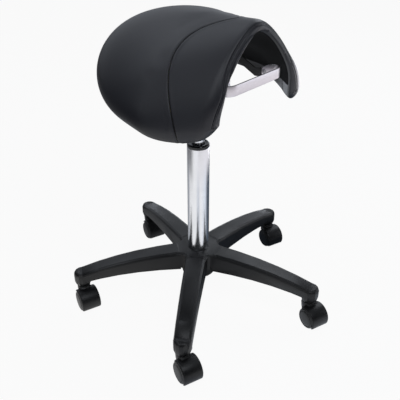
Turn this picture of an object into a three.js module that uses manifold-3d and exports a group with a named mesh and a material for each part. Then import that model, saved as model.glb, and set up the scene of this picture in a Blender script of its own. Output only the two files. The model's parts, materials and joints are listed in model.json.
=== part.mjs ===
import * as THREE from 'three';
import { mergeVertices } from 'three/addons/utils/BufferGeometryUtils.js';
import Module from 'manifold-3d';

// Saddle stool: a padded saddle on a gas column with a five-arm base on twin-wheel castors.
// Millimetres, +Z up, +X towards the front of the saddle, floor at z = 0.
// The pieces are made about the column's axis and the whole stool is then centred on its footprint.

const wasm = await Module();
wasm.setup();

// Fits shared by every piece
const gap = 0.3;
const cutOverrun = 3;

// Sides and steps of the round pieces
const fullTurn = 360;
const tubeSides = 28;
const ringSides = 24;
const pocketSides = 20;
const washerSides = 16;
const bossSides = 14;
const pinSides = 12;
const boltSides = 10;
const stemSides = 8;
const clipSteps = 12;
const hoodSteps = 5;
const filletShares = [1, 0.33, -0.33, -1];

// Star base
const armCount = 5;
const firstArmDegrees = 18;
const stemCircleRadius = 281;
const hubTop = 130;
const hubFoot = 62;
const hubBarrelRadius = 40;
const hubBossWall = 6;
const hubFilletRadius = 12;
const hubEdge = 4;
const armHubWidth = 51;
const armTipWidth = 39;
const armHubDepth = 52;
const armTipDepth = 23;
const armTipDrop = 34;
const armArchPower = 2.6;
const armRootReach = 58;
const armEdgeRadius = 7;
const armWall = 4;
const armSkin = 5;
const armStationShares = [0.17, 0.35, 0.53, 0.7, 0.86, 1];
const ribThickness = 4;
const armCellCount = 3;
const stemBossRadius = 20;
const stemBossFootRadius = 17.5;
const stemBossCollar = 8;
const stemSocketDepth = 24;

// Castors
const castorTrailDegrees = -17.5;
const castorTrail = 19;
const wheelRadius = 25;
const wheelSides = 18;
const wheelWidth = 17.5;
const wheelEdge = 1.6;
const wheelDome = 1.8;
const wheelDomeRadius = 14;
const wheelRunningGap = 0.8;
const hoodWebHalf = 5.8;
const hoodWall = 3;
const hoodHalfWidth = 23;
const hoodEdge = 1.5;
const hoodSkirtHeight = 9.5;
const hoodNeckTurnDegrees = 62;
const webFootHeight = 12;
const neckRadius = 15;
const neckFootHeight = 40;
const stemRadius = 5.5;
const stemPinRadius = 4;
const stemPinLength = 22;
const stemFlangeRadius = 8.5;
const stemFlangeThickness = 2.4;
const stemGripDepth = 0.9;
const stemGripLength = 4;
const axleRadius = 3;
const axleCover = 4;

// Column
const tubeRadius = 25;
const tubeWall = 1.6;
const tubeLap = 128.8;
const tubeFootRadius = 24;
const tubeFootRise = 8;
const tubeFloorThickness = 3;
const bushCollarHeight = 8;
const bushSleeveLength = 65;
const bushEdge = 2;
const cylinderRadius = 14;
const cylinderWall = 2.5;
const cylinderLength = 350;
const cylinderTaper = 0.8;
const cylinderTaperLength = 42;
const cylinderEdge = 1.5;
const valveBlockLength = 30;
const rodRadius = 5;
const rodRise = 77.8;
const rodNeckRadius = 3.5;
const rodHeadThickness = 1.5;
const rodFootDrop = 7;
const rodShoulderRadius = 9;
const rodShoulderHeight = 6;
const pistonLength = 10;
const rodGuideLength = 12;
const bearingRadius = 17;
const bearingWasherThickness = 2;
const ballCageThickness = 3;
const bufferLength = 18;
const bufferRadius = 11;
const clipThickness = 1.6;
const clipRadius = 9;
const clipGrooveDepth = 1;
const clipMouthDegrees = 60;
const footWasherThickness = 1.8;
const footWasherRadius = 13;
const pinRadius = 4;
const pinProud = 6;
const pinLength = 30;

// Saddle: the padded shape, from its crest down to the rims of its flaps
const seatHeight = 690;
const saddleWideX = 40;
const saddleFrontX = 149;
const saddleRearX = -207;
const saddleHalfWidth = 214;
const saddleFrontHalfWidth = 142;
const saddleRearPower = 2.06;
const saddleFrontPower = 1.57;
const sideRimDrop = 159;
const frontRimDrop = 164;
const frontRimDip = 10;
const rearRimDrop = 90;
const crestDip = 2;
const frontLean = 5.6;
const frontLeanHeight = 150;
const flapThickness = 29;
const flapFrontThickness = 44;
const rimNoseShare = 0.6;
const flapTipLength = 30;
const flapTipRise = 15;
const crestThickness = 45;
const frontCrestThickness = 23;
const frontRoundRadius = 9;
const frontUnderRadius = 4;
const crestFlatShares = { side: 0.28, rear: 0.63, front: 0.21, frontUnder: 0.39 };
const flankFlatShares = { side: 0.35, rear: 0.45, front: 0.35, frontUnder: 0.58 };
const coverThickness = 1.8;
const shellThickness = 8;
const liningThickness = 1.4;
const underWrapShare = 0.93;
const frontWrap = 13;
const shellEdgeRoom = 1;
const seamX = 104;
const seamLeanDegrees = 4.3;
const fanStepCount = 6;
const archStepCount = 8;
const underStepCount = 6;
const noseStepCount = 4;
const frontStationShares = [0.22, 0.43, 0.62, 0.77, 0.86];
const frontRoundShares = [0, 0.5556, 1];

// Seat plate and its bolts
const plateDrop = 12;
const plateThickness = 3;
const plateLength = 148;
const plateWidth = 76;
const flangeThickness = 2.5;
const flangeSpacing = 62;
const flangeDepth = 34;
const flangeRear = 48;
const flangeFront = 50;
const webFront = 22;
const socketRadius = 19;
const socketLength = 40;
const boltRadius = 3;
const boltHeadRadius = 5.8;
const boltHeadHeight = 4;
const boltHalfX = 61;
const boltHalfY = 26;
const boltLength = 16;
const bossRadius = 9;
const bossRoom = 1;

// Height lever
const pivotX = 35;
const pivotDrop = 17;
const pivotRadius = 4;
const pivotHeadRadius = 6.5;
const pivotHeadThickness = 2.5;
const leverStrip = 3;
const leverSideRoom = 0.5;
const leverTailX = -9;
const leverTailHeight = 9;
const leverPivotHeight = 15;
const leverArmHeight = 16;
const leverBendX = 52;
const leverLandX = 112;
const leverLandY = 43;
const paddleThickness = 3;
const paddleRoom = 3.5;
const paddleLength = 18;
const barX = 150.5;
const barDrop = 45;
const barHeight = 20.5;
const barStraightHalf = 60;
const barHookDepth = 13.5;
const barHookReach = 21;
const barReturnLength = 11;
const barHookSteps = 8;
const rivetRadius = 2.5;
const rivetHeadRadius = 4.5;
const rivetHeadHeight = 1.8;

// Worked-out levels
const undersideHeight = seatHeight - crestThickness;
const underFloor = seatHeight - frontRimDrop - frontRimDip - cutOverrun;
const plateTop = undersideHeight - plateDrop;
const plateFoot = plateTop - plateThickness;
const paddleTop = plateFoot - paddleRoom;
const paddleFoot = paddleTop - paddleThickness;
const pinTop = paddleFoot - gap;
const cylinderTop = pinTop - pinProud;
const cylinderFoot = cylinderTop - cylinderLength;
const tubeTop = cylinderFoot + tubeLap;
const rodTop = cylinderFoot + rodRise;
const pivotHeight = plateTop - pivotDrop;
const flangeFoot = plateFoot - flangeDepth;
const barTop = plateTop - barDrop;
const tubeFoot = hubFoot + tubeFootRise;
const tubeFloorTop = tubeFoot + tubeFloorThickness;
const stemFlangeFoot = hubFoot - gap - stemFlangeThickness;
const hoodTop = stemFlangeFoot - gap;
const axleHeight = wheelRadius * Math.cos(Math.PI / wheelSides);
const wheelInner = hoodWebHalf + wheelRunningGap;
const wheelOuter = wheelInner + wheelWidth;
const axleHalf = wheelOuter - axleCover;
const bearingFoot = tubeFloorTop + gap;
const cageFoot = bearingFoot + bearingWasherThickness + gap;
const upperWasherFoot = cageFoot + ballCageThickness + gap;
const shoulderFoot = upperWasherFoot + bearingWasherThickness + gap;
const bufferFoot = shoulderFoot + rodShoulderHeight + gap;
const footWasherFoot = tubeFoot - gap - footWasherThickness;
const clipFoot = footWasherFoot - gap - clipThickness;
const rodFoot = tubeFoot - rodFootDrop - gap;
const leverY = flangeSpacing / 2 - leverSideRoom - leverStrip / 2;
const barReturnX = barX - 2 * barHookDepth;
const tabX = barReturnX - leverStrip - gap;
const tabEndY = barStraightHalf;

// Materials
function finish(color, roughness, metalness) {
  return new THREE.MeshStandardMaterial({ color, roughness, metalness });
}

const nylon = () => finish(0x1c1c1f, 0.5, 0);
const chrome = () => finish(0xd8dadf, 0.12, 1);
const steel = () => finish(0x9a9ca1, 0.35, 1);
const blackSteel = () => finish(0x202124, 0.5, 0.6);
const brushed = () => finish(0xc4c1c6, 0.32, 1);
const rubber = () => finish(0x17171a, 0.85, 0);
const leather = () => finish(0x2b2c2f, 0.45, 0);
const foamStuff = () => finish(0xd9cf9c, 0.95, 0);
const polymer = () => finish(0x26262a, 0.7, 0);

const degrees = (angle) => THREE.MathUtils.degToRad(angle);
const lerp = THREE.MathUtils.lerp;

// Closed meshes turned into solids for cutting and joining, and back again
function signedVolume(geometry) {
  const positions = geometry.getAttribute('position');
  const corner = (i) => new THREE.Vector3().fromBufferAttribute(positions, geometry.index.getX(i));
  let sum = 0;
  for (let i = 0; i < geometry.index.count; i += 3) {
    sum += corner(i).dot(corner(i + 1).cross(corner(i + 2)));
  }
  return sum;
}

function solid(source) {
  const plain = new THREE.BufferGeometry();
  plain.setAttribute('position', source.getAttribute('position'));
  if (source.index) plain.setIndex(source.index);
  const merged = mergeVertices(plain, gap / 1000);
  const inward = signedVolume(merged) < 0;
  const corners = [];
  for (let i = 0; i < merged.index.count; i += 3) {
    const [a, b, c] = [0, 1, 2].map((k) => merged.index.getX(i + k));
    if (a === b || b === c || c === a) continue;
    corners.push(a, inward ? c : b, inward ? b : c);
  }
  const vertProperties = new Float32Array(merged.getAttribute('position').array);
  const triVerts = new Uint32Array(corners);
  return new wasm.Manifold(new wasm.Mesh({ numProp: 3, vertProperties, triVerts }));
}

function geometryOf(shape) {
  const mesh = shape.getMesh();
  const geometry = new THREE.BufferGeometry();
  geometry.setAttribute('position', new THREE.BufferAttribute(new Float32Array(mesh.vertProperties), 3));
  geometry.setIndex(new THREE.BufferAttribute(new Uint32Array(mesh.triVerts), 1));
  const loose = geometry.toNonIndexed();
  loose.computeVertexNormals();
  return loose;
}

const joined = (shapes) => shapes.reduce((all, shape) => all.add(shape));

const stool = new THREE.Group();
stool.name = 'saddle_stool';

function place(name, shape, material) {
  const mesh = new THREE.Mesh(geometryOf(shape), material);
  mesh.name = name;
  stool.add(mesh);
}

// A turned piece about the Z axis, from a profile of [radius, height] points
function turned(profile, sides) {
  const points = profile.map(([radius, height]) => new THREE.Vector2(radius, height));
  return solid(new THREE.LatheGeometry(points, sides).rotateX(Math.PI / 2));
}

function sleeve(inner, outer, low, high, sides) {
  return turned([[inner, low], [outer, low], [outer, high], [inner, high], [inner, low]], sides);
}

function rod(radius, low, high, sides) {
  return turned([[0, low], [radius, low], [radius, high], [0, high]], sides);
}

function block(lowX, lowY, lowZ, highX, highY, highZ) {
  const box = new THREE.BoxGeometry(highX - lowX, highY - lowY, highZ - lowZ);
  return solid(box.translate((lowX + highX) / 2, (lowY + highY) / 2, (lowZ + highZ) / 2));
}

// A flat outline raised along Z, its edges rounded by the bevel
function raised(points, low, high, bevel) {
  const shape = new THREE.Shape(points.map(([x, y]) => new THREE.Vector2(x, y)));
  const depth = high - low - 2 * bevel;
  const edge = { bevelThickness: bevel, bevelSize: bevel, bevelOffset: -bevel, bevelSegments: 1 };
  const body = new THREE.ExtrudeGeometry(shape, { depth, bevelEnabled: bevel > 0, ...edge });
  return solid(body.translate(0, 0, low + bevel));
}

// A skin through rings of points with the same count, closed by a flat face at each end
function loft(rings) {
  const count = rings[0].length;
  const positions = rings.flat().flatMap((point) => [point.x, point.y, point.z]);
  const index = [];
  for (let i = 0; i + 1 < rings.length; i += 1) {
    for (let j = 0; j < count; j += 1) {
      const next = (j + 1) % count;
      const [a, b, c, d] = [i * count + j, i * count + next, (i + 1) * count + next, (i + 1) * count + j];
      index.push(a, b, c, a, c, d);
    }
  }
  const last = (rings.length - 1) * count;
  for (let j = 1; j + 1 < count; j += 1) index.push(0, j + 1, j, last, last + j, last + j + 1);
  const geometry = new THREE.BufferGeometry();
  geometry.setAttribute('position', new THREE.Float32BufferAttribute(positions, 3));
  geometry.setIndex(index);
  return solid(geometry);
}

// Star base: arms of an upside-down channel section with ribs, on a hub with a tapered bore
function armTopAt(radius) {
  return hubTop - armTipDrop * (radius / stemCircleRadius) ** armArchPower;
}

function armFootAt(radius) {
  return armTopAt(radius) - lerp(armHubDepth, armTipDepth, radius / stemCircleRadius);
}

function armHalfAt(radius) {
  return lerp(armHubWidth, armTipWidth, radius / stemCircleRadius) / 2;
}

function armRing(radius) {
  const [half, top, foot] = [armHalfAt(radius), armTopAt(radius), armFootAt(radius)];
  const edge = armEdgeRadius * (1 - Math.SQRT1_2);
  const side = [[half, foot], [half, top - armEdgeRadius]];
  side.push([half - edge, top - edge], [half - armEdgeRadius, top]);
  const other = side.map(([y, z]) => [-y, z]).reverse();
  return [...side, ...other].map(([y, z]) => new THREE.Vector3(radius, y, z));
}

function cellRing(radius) {
  const [half, top] = [armHalfAt(radius) - armWall, armTopAt(radius) - armSkin];
  const foot = armFootAt(radius) - cutOverrun;
  const corners = [[half, foot], [half, top], [-half, top], [-half, foot]];
  return corners.map(([y, z]) => new THREE.Vector3(radius, y, z));
}

// The plan of the hub: short arm roots with a fillet between neighbours
function starOutline(half, fillet) {
  const between = Math.PI / armCount;
  const filletCentre = (half + fillet) / Math.sin(between);
  const points = [];
  for (let arm = 0; arm < armCount; arm += 1) {
    const heading = 2 * between * arm;
    const along = new THREE.Vector2(Math.cos(heading), Math.sin(heading));
    const across = new THREE.Vector2(-along.y, along.x);
    for (const side of [-half, half]) {
      const corner = along.clone().multiplyScalar(armRootReach).addScaledVector(across, side);
      points.push([corner.x, corner.y]);
    }
    const middle = heading + between;
    for (const share of filletShares) {
      const turn = middle + Math.PI + share * (Math.PI / 2 - between);
      const x = filletCentre * Math.cos(middle) + fillet * Math.cos(turn);
      points.push([x, filletCentre * Math.sin(middle) + fillet * Math.sin(turn)]);
    }
  }
  return points;
}

function makeArm() {
  const bossTop = armTopAt(stemCircleRadius) - gap;
  const edge = armEdgeRadius * (1 - Math.SQRT1_2);
  const profile = [[0, hubFoot], [stemBossFootRadius, hubFoot], [stemBossRadius, hubFoot + stemBossCollar]];
  profile.push([stemBossRadius, bossTop - armEdgeRadius], [stemBossRadius - edge, bossTop - edge]);
  profile.push([stemBossRadius - armEdgeRadius, bossTop], [0, bossTop]);
  const boss = turned(profile, bossSides).translate([stemCircleRadius, 0, 0]);
  const socket = rod(stemRadius + gap, hubFoot - cutOverrun, hubFoot + stemSocketDepth, boltSides);
  const cellStart = armRootReach + ribThickness;
  const cellPitch = (stemCircleRadius - stemBossRadius - cellStart) / armCellCount;
  const cuts = [socket.translate([stemCircleRadius, 0, 0])];
  for (let cell = 0; cell < armCellCount; cell += 1) {
    const from = cellStart + cell * cellPitch;
    cuts.push(loft([from, from + cellPitch - ribThickness].map(cellRing)));
  }
  const limb = loft(armStationShares.map((share) => armRing(share * stemCircleRadius)));
  return limb.add(boss).subtract(joined(cuts));
}

function makeBase() {
  const arm = makeArm();
  const arms = [];
  for (let turn = 0; turn < armCount; turn += 1) arms.push(arm.rotate([0, 0, turn * fullTurn / armCount]));
  const rootHalf = armHalfAt(armRootReach) - gap;
  const [rootFoot, rootTop] = [armFootAt(armRootReach), armTopAt(armRootReach)];
  const core = raised(starOutline(rootHalf, hubFilletRadius), rootFoot, rootTop, hubEdge);
  const hollowPlan = starOutline(rootHalf - armWall, hubFilletRadius + armWall);
  const hollow = raised(hollowPlan, rootFoot - cutOverrun, rootTop - armSkin, 0);
  const wallTop = rootTop - armSkin / 2;
  const ringWall = sleeve(hubBarrelRadius - armWall, hubBarrelRadius, hubFoot, wallTop, ringSides);
  const boreAtTop = tubeRadius + gap;
  const boss = rod(boreAtTop + hubBossWall, hubFoot, wallTop, ringSides);
  const bore = [[0, hubFoot - cutOverrun], [tubeFootRadius + gap, hubFoot - cutOverrun]];
  bore.push([tubeFootRadius + gap, tubeFoot], [boreAtTop, hubTop], [boreAtTop, hubTop + cutOverrun]);
  bore.push([0, hubTop + cutOverrun]);
  const outside = joined([core, ...arms]).subtract(hollow);
  const base = joined([outside, ringWall, boss]).subtract(turned(bore, tubeSides));
  place('star_base', base.rotate([0, 0, firstArmDegrees]), nylon());
}

// A castor about its own stem: +X is the trailing direction and Y the axle
function hoodOutline() {
  const radius = wheelRadius + wheelRunningGap + hoodWall;
  const start = Math.asin((hoodSkirtHeight - axleHeight) / radius);
  const neckTurn = degrees(hoodNeckTurnDegrees);
  const points = [];
  for (let step = 0; step <= hoodSteps; step += 1) {
    const turn = lerp(start, neckTurn, step / hoodSteps);
    points.push([castorTrail + radius * Math.cos(turn), axleHeight + radius * Math.sin(turn)]);
  }
  const neckCorner = neckRadius * Math.SQRT1_2;
  points.push([neckCorner, hoodTop - hoodEdge], [-neckCorner, hoodTop - hoodEdge]);
  points.push([-neckRadius + hoodEdge, hoodTop - 2 * hoodWall], [-neckCorner, neckFootHeight]);
  points.push([0, webFootHeight]);
  return points.map(([x, z]) => [x, -z]);
}

function makeHood() {
  const body = raised(hoodOutline(), -hoodHalfWidth, hoodHalfWidth, hoodEdge).rotate([-90, 0, 0]);
  const profile = [[0, neckFootHeight], [neckRadius, neckFootHeight], [neckRadius, hoodTop - hoodEdge]];
  profile.push([neckRadius - hoodEdge, hoodTop], [0, hoodTop]);
  const neck = turned(profile, washerSides);
  const axleSeat = [castorTrail, 0, axleHeight];
  const pocketRadius = wheelRadius + wheelRunningGap;
  const pocket = rod(pocketRadius, hoodWebHalf, hoodHalfWidth + cutOverrun, pocketSides);
  const pockets = pocket.add(pocket.mirror([0, 0, 1])).rotate([-90, 0, 0]).translate(axleSeat);
  const axleRod = rod(axleRadius + gap, -axleHalf, axleHalf, pinSides).rotate([-90, 0, 0]);
  const axleBore = axleRod.translate(axleSeat);
  const stemFoot = hoodTop - stemPinLength - gap;
  const stemBore = rod(stemPinRadius + gap, stemFoot, hoodTop + cutOverrun, boltSides);
  return body.add(neck).subtract(joined([pockets, axleBore, stemBore]));
}

function makeWheel() {
  const boreRadius = axleRadius + gap;
  const faceAt = wheelOuter - wheelDome;
  const profile = [[0, axleHalf + gap], [boreRadius, axleHalf + gap], [boreRadius, wheelInner]];
  profile.push([wheelRadius, wheelInner], [wheelRadius, faceAt - wheelEdge]);
  profile.push([wheelRadius - wheelEdge, faceAt], [wheelDomeRadius, wheelOuter], [0, wheelOuter]);
  return turned(profile, wheelSides).rotate([0, 0, fullTurn / wheelSides / 2]).rotate([-90, 0, 0]);
}

function makeStem() {
  const top = hubFoot + stemSocketDepth - gap;
  const grip = stemRadius - stemGripDepth;
  const profile = [[0, hoodTop - stemPinLength], [stemPinRadius, hoodTop - stemPinLength]];
  profile.push([stemPinRadius, stemFlangeFoot], [stemFlangeRadius, stemFlangeFoot]);
  profile.push([stemFlangeRadius, hubFoot - gap], [stemRadius, hubFoot - gap]);
  profile.push([stemRadius, top - 2 * stemGripLength], [grip, top - 2 * stemGripLength]);
  profile.push([grip, top - stemGripLength], [stemRadius, top - stemGripLength]);
  profile.push([stemRadius, top], [0, top]);
  return turned(profile, stemSides);
}

function makeCastors() {
  const wheel = makeWheel().translate([castorTrail, 0, axleHeight]);
  const shaft = rod(axleRadius, -axleHalf, axleHalf, pinSides).rotate([-90, 0, 0]);
  const axle = shaft.translate([castorTrail, 0, axleHeight]);
  const pieces = [['stem', makeStem(), steel], ['hood', makeHood(), nylon], ['axle', axle, steel]];
  pieces.push(['wheel_left', wheel, nylon], ['wheel_right', wheel.mirror([0, 1, 0]), nylon]);
  for (let arm = 0; arm < armCount; arm += 1) {
    const heading = degrees(firstArmDegrees + arm * fullTurn / armCount);
    const seat = [stemCircleRadius * Math.cos(heading), stemCircleRadius * Math.sin(heading), 0];
    for (const [name, shape, material] of pieces) {
      const set = shape.rotate([0, 0, castorTrailDegrees]).translate(seat);
      place(`castor_${arm + 1}_${name}`, set, material());
    }
  }
}

// Column: the chromed tube with its bush, and the gas spring that slides and turns in it
function makeClip() {
  const [inner, mouth] = [rodRadius - clipGrooveDepth + gap, degrees(clipMouthDegrees)];
  const arc = (radius, from, to) => {
    const points = [];
    for (let step = 0; step <= clipSteps; step += 1) {
      const turn = lerp(from, to, step / clipSteps);
      points.push([radius * Math.cos(turn), radius * Math.sin(turn)]);
    }
    return points;
  };
  const [from, to] = [mouth / 2, 2 * Math.PI - mouth / 2];
  const outline = [...arc(clipRadius, from, to), ...arc(inner, to, from)];
  return raised(outline, clipFoot, clipFoot + clipThickness, 0);
}

function makeColumn() {
  const floorHole = rodRadius + gap;
  const tube = [[floorHole, tubeFoot], [tubeFootRadius, tubeFoot], [tubeRadius, hubTop]];
  tube.push([tubeRadius, tubeTop], [tubeRadius - tubeWall, tubeTop], [tubeRadius - tubeWall, hubTop]);
  tube.push([tubeFootRadius - tubeWall, tubeFloorTop], [floorHole, tubeFloorTop], [floorHole, tubeFoot]);
  place('column_tube', turned(tube, tubeSides), chrome());
  const [bushBore, bushTop] = [cylinderRadius + gap, tubeTop + gap + bushCollarHeight];
  const bushOuter = tubeRadius - tubeWall - gap;
  const bush = [[bushBore, tubeTop - bushSleeveLength], [bushOuter, tubeTop - bushSleeveLength]];
  bush.push([bushOuter, tubeTop + gap], [tubeRadius, tubeTop + gap], [tubeRadius, bushTop - bushEdge]);
  bush.push([tubeRadius - bushEdge, bushTop], [bushBore, bushTop], [bushBore, tubeTop - bushSleeveLength]);
  place('guide_bush', turned(bush, ringSides), nylon());
  const bore = rodRadius + gap;
  const ring = (radius, low, thickness) => sleeve(bore, radius, low, low + thickness, washerSides);
  place('thrust_washer_lower', ring(bearingRadius, bearingFoot, bearingWasherThickness), steel());
  place('ball_cage', ring(bearingRadius, cageFoot, ballCageThickness), polymer());
  place('thrust_washer_upper', ring(bearingRadius, upperWasherFoot, bearingWasherThickness), steel());
  place('rubber_buffer', ring(bufferRadius, bufferFoot, bufferLength), rubber());
  place('foot_washer', ring(footWasherRadius, footWasherFoot, footWasherThickness), steel());
  place('retaining_clip', makeClip(), steel());
  const [grooveFoot, pistonFoot] = [clipFoot - gap, rodTop - pistonLength];
  const groove = rodRadius - clipGrooveDepth;
  const spindle = [[0, rodFoot], [rodRadius, rodFoot], [rodRadius, grooveFoot], [groove, grooveFoot]];
  const [grooveTop, shoulderTop] = [clipFoot + clipThickness + gap, shoulderFoot + rodShoulderHeight];
  const [headFoot, headTop] = [rodTop + gap, rodTop + gap + rodHeadThickness];
  spindle.push([groove, grooveTop], [rodRadius, grooveTop], [rodRadius, shoulderFoot]);
  spindle.push([rodShoulderRadius, shoulderFoot], [rodShoulderRadius, shoulderTop]);
  spindle.push([rodRadius, shoulderTop], [rodRadius, pistonFoot - gap], [rodNeckRadius, pistonFoot - gap]);
  spindle.push([rodNeckRadius, headFoot]);
  spindle.push([rodRadius, headFoot], [rodRadius, headTop], [0, headTop]);
  place('piston_rod', turned(spindle, pinSides), steel());
  const cylinderBore = cylinderRadius - cylinderWall;
  const piston = sleeve(rodNeckRadius + gap, cylinderBore - gap, pistonFoot, rodTop, washerSides);
  place('piston', piston, steel());
  const [blockFoot, pinBore] = [cylinderTop - valveBlockLength, pinRadius + gap];
  const cylinder = [[cylinderBore, cylinderFoot], [cylinderRadius - cylinderEdge, cylinderFoot]];
  cylinder.push([cylinderRadius, cylinderFoot + cylinderEdge]);
  cylinder.push([cylinderRadius, cylinderTop - cylinderTaperLength]);
  cylinder.push([cylinderRadius - cylinderTaper, cylinderTop], [pinBore, cylinderTop]);
  cylinder.push([pinBore, blockFoot], [cylinderBore, blockFoot], [cylinderBore, cylinderFoot]);
  place('gas_cylinder', turned(cylinder, ringSides), chrome());
  const guideFoot = cylinderFoot + gap;
  const guide = sleeve(bore, cylinderBore - gap, guideFoot, guideFoot + rodGuideLength, washerSides);
  place('rod_guide', guide, polymer());
  const pinEdge = pinRadius / 4;
  const pin = [[0, pinTop - pinLength], [pinRadius, pinTop - pinLength], [pinRadius, pinTop - pinEdge]];
  pin.push([pinRadius - pinEdge, pinTop], [0, pinTop]);
  place('release_pin', turned(pin, pinSides), steel());
}

// Seat plate: a flat plate, a channel under it and the tapered socket of the gas spring
function boltSpots() {
  return [[1, 1], [-1, 1], [-1, -1], [1, -1]].map(([x, y]) => [x * boltHalfX, y * boltHalfY]);
}

function makePlate() {
  const [halfX, halfY, flangeY] = [plateLength / 2, plateWidth / 2, flangeSpacing / 2];
  const top = block(-halfX, -halfY, plateFoot, halfX, halfY, plateTop);
  const flange = block(-flangeRear, flangeY, flangeFoot, flangeFront, flangeY + flangeThickness, plateTop);
  const webY = flangeY + flangeThickness / 2;
  const web = block(-flangeRear, -webY, flangeFoot, webFront, webY, flangeFoot + plateThickness);
  const wallFront = -flangeRear + flangeThickness;
  const rearWall = block(-flangeRear, -webY, flangeFoot, wallFront, webY, plateTop);
  const socketTop = cylinderTop - gap;
  const socket = rod(socketRadius, socketTop - socketLength, socketTop, ringSides);
  const slope = cylinderTaper / cylinderTaperLength;
  const [low, high] = [socketTop - socketLength - cutOverrun, socketTop + gap / 2];
  const taperFoot = cylinderTop - cylinderTaperLength;
  const boreAt = (height) => cylinderRadius + gap - Math.max(0, height - taperFoot) * slope;
  const bore = turned([[0, low], [boreAt(low), low], [boreAt(high), high], [0, high]], ringSides);
  const boltHole = rod(boltRadius + gap, plateFoot - cutOverrun, plateTop + cutOverrun, pinSides);
  const pivotBore = rod(pivotRadius + gap, -halfY, halfY, pinSides).rotate([-90, 0, 0]);
  const pivotHole = pivotBore.translate([pivotX, 0, pivotHeight]);
  const holes = [bore, pivotHole];
  for (const [x, y] of boltSpots()) holes.push(boltHole.translate([x, y, 0]));
  const all = joined([top, flange, flange.mirror([0, 1, 0]), web, rearWall, socket]);
  place('seat_plate', all.subtract(joined(holes)), blackSteel());
}

function makeBolts() {
  const headTop = plateFoot - gap;
  const profile = [[0, headTop - boltHeadHeight], [boltHeadRadius, headTop - boltHeadHeight]];
  profile.push([boltHeadRadius, headTop], [boltRadius, headTop], [boltRadius, headTop + boltLength]);
  profile.push([0, headTop + boltLength]);
  const bolt = turned(profile, boltSides);
  boltSpots().forEach(([x, y], i) => place(`seat_bolt_${i + 1}`, bolt.translate([x, y, 0]), steel()));
}

// A bent strip on edge, along a path of [x, y, foot, top] points
function strip(path) {
  const rings = path.map(([x, y, foot, top], i) => {
    const here = new THREE.Vector2(x, y);
    const headings = [];
    for (const [from, to] of [[i - 1, i], [i, i + 1]]) {
      if (!path[from] || !path[to]) continue;
      const step = new THREE.Vector2(path[to][0] - path[from][0], path[to][1] - path[from][1]);
      headings.push(step.normalize());
    }
    const normals = headings.map((heading) => new THREE.Vector2(-heading.y, heading.x));
    const mitre = normals.reduce((sum, normal) => sum.clone().add(normal));
    mitre.multiplyScalar(leverStrip / (normals.length > 1 ? mitre.lengthSq() : 2));
    const [outer, inner] = [here.clone().add(mitre), here.clone().sub(mitre)];
    const corners = [[outer, foot], [outer, top], [inner, top], [inner, foot]];
    return corners.map(([point, z]) => new THREE.Vector3(point.x, point.y, z));
  });
  return loft(rings);
}

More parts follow.
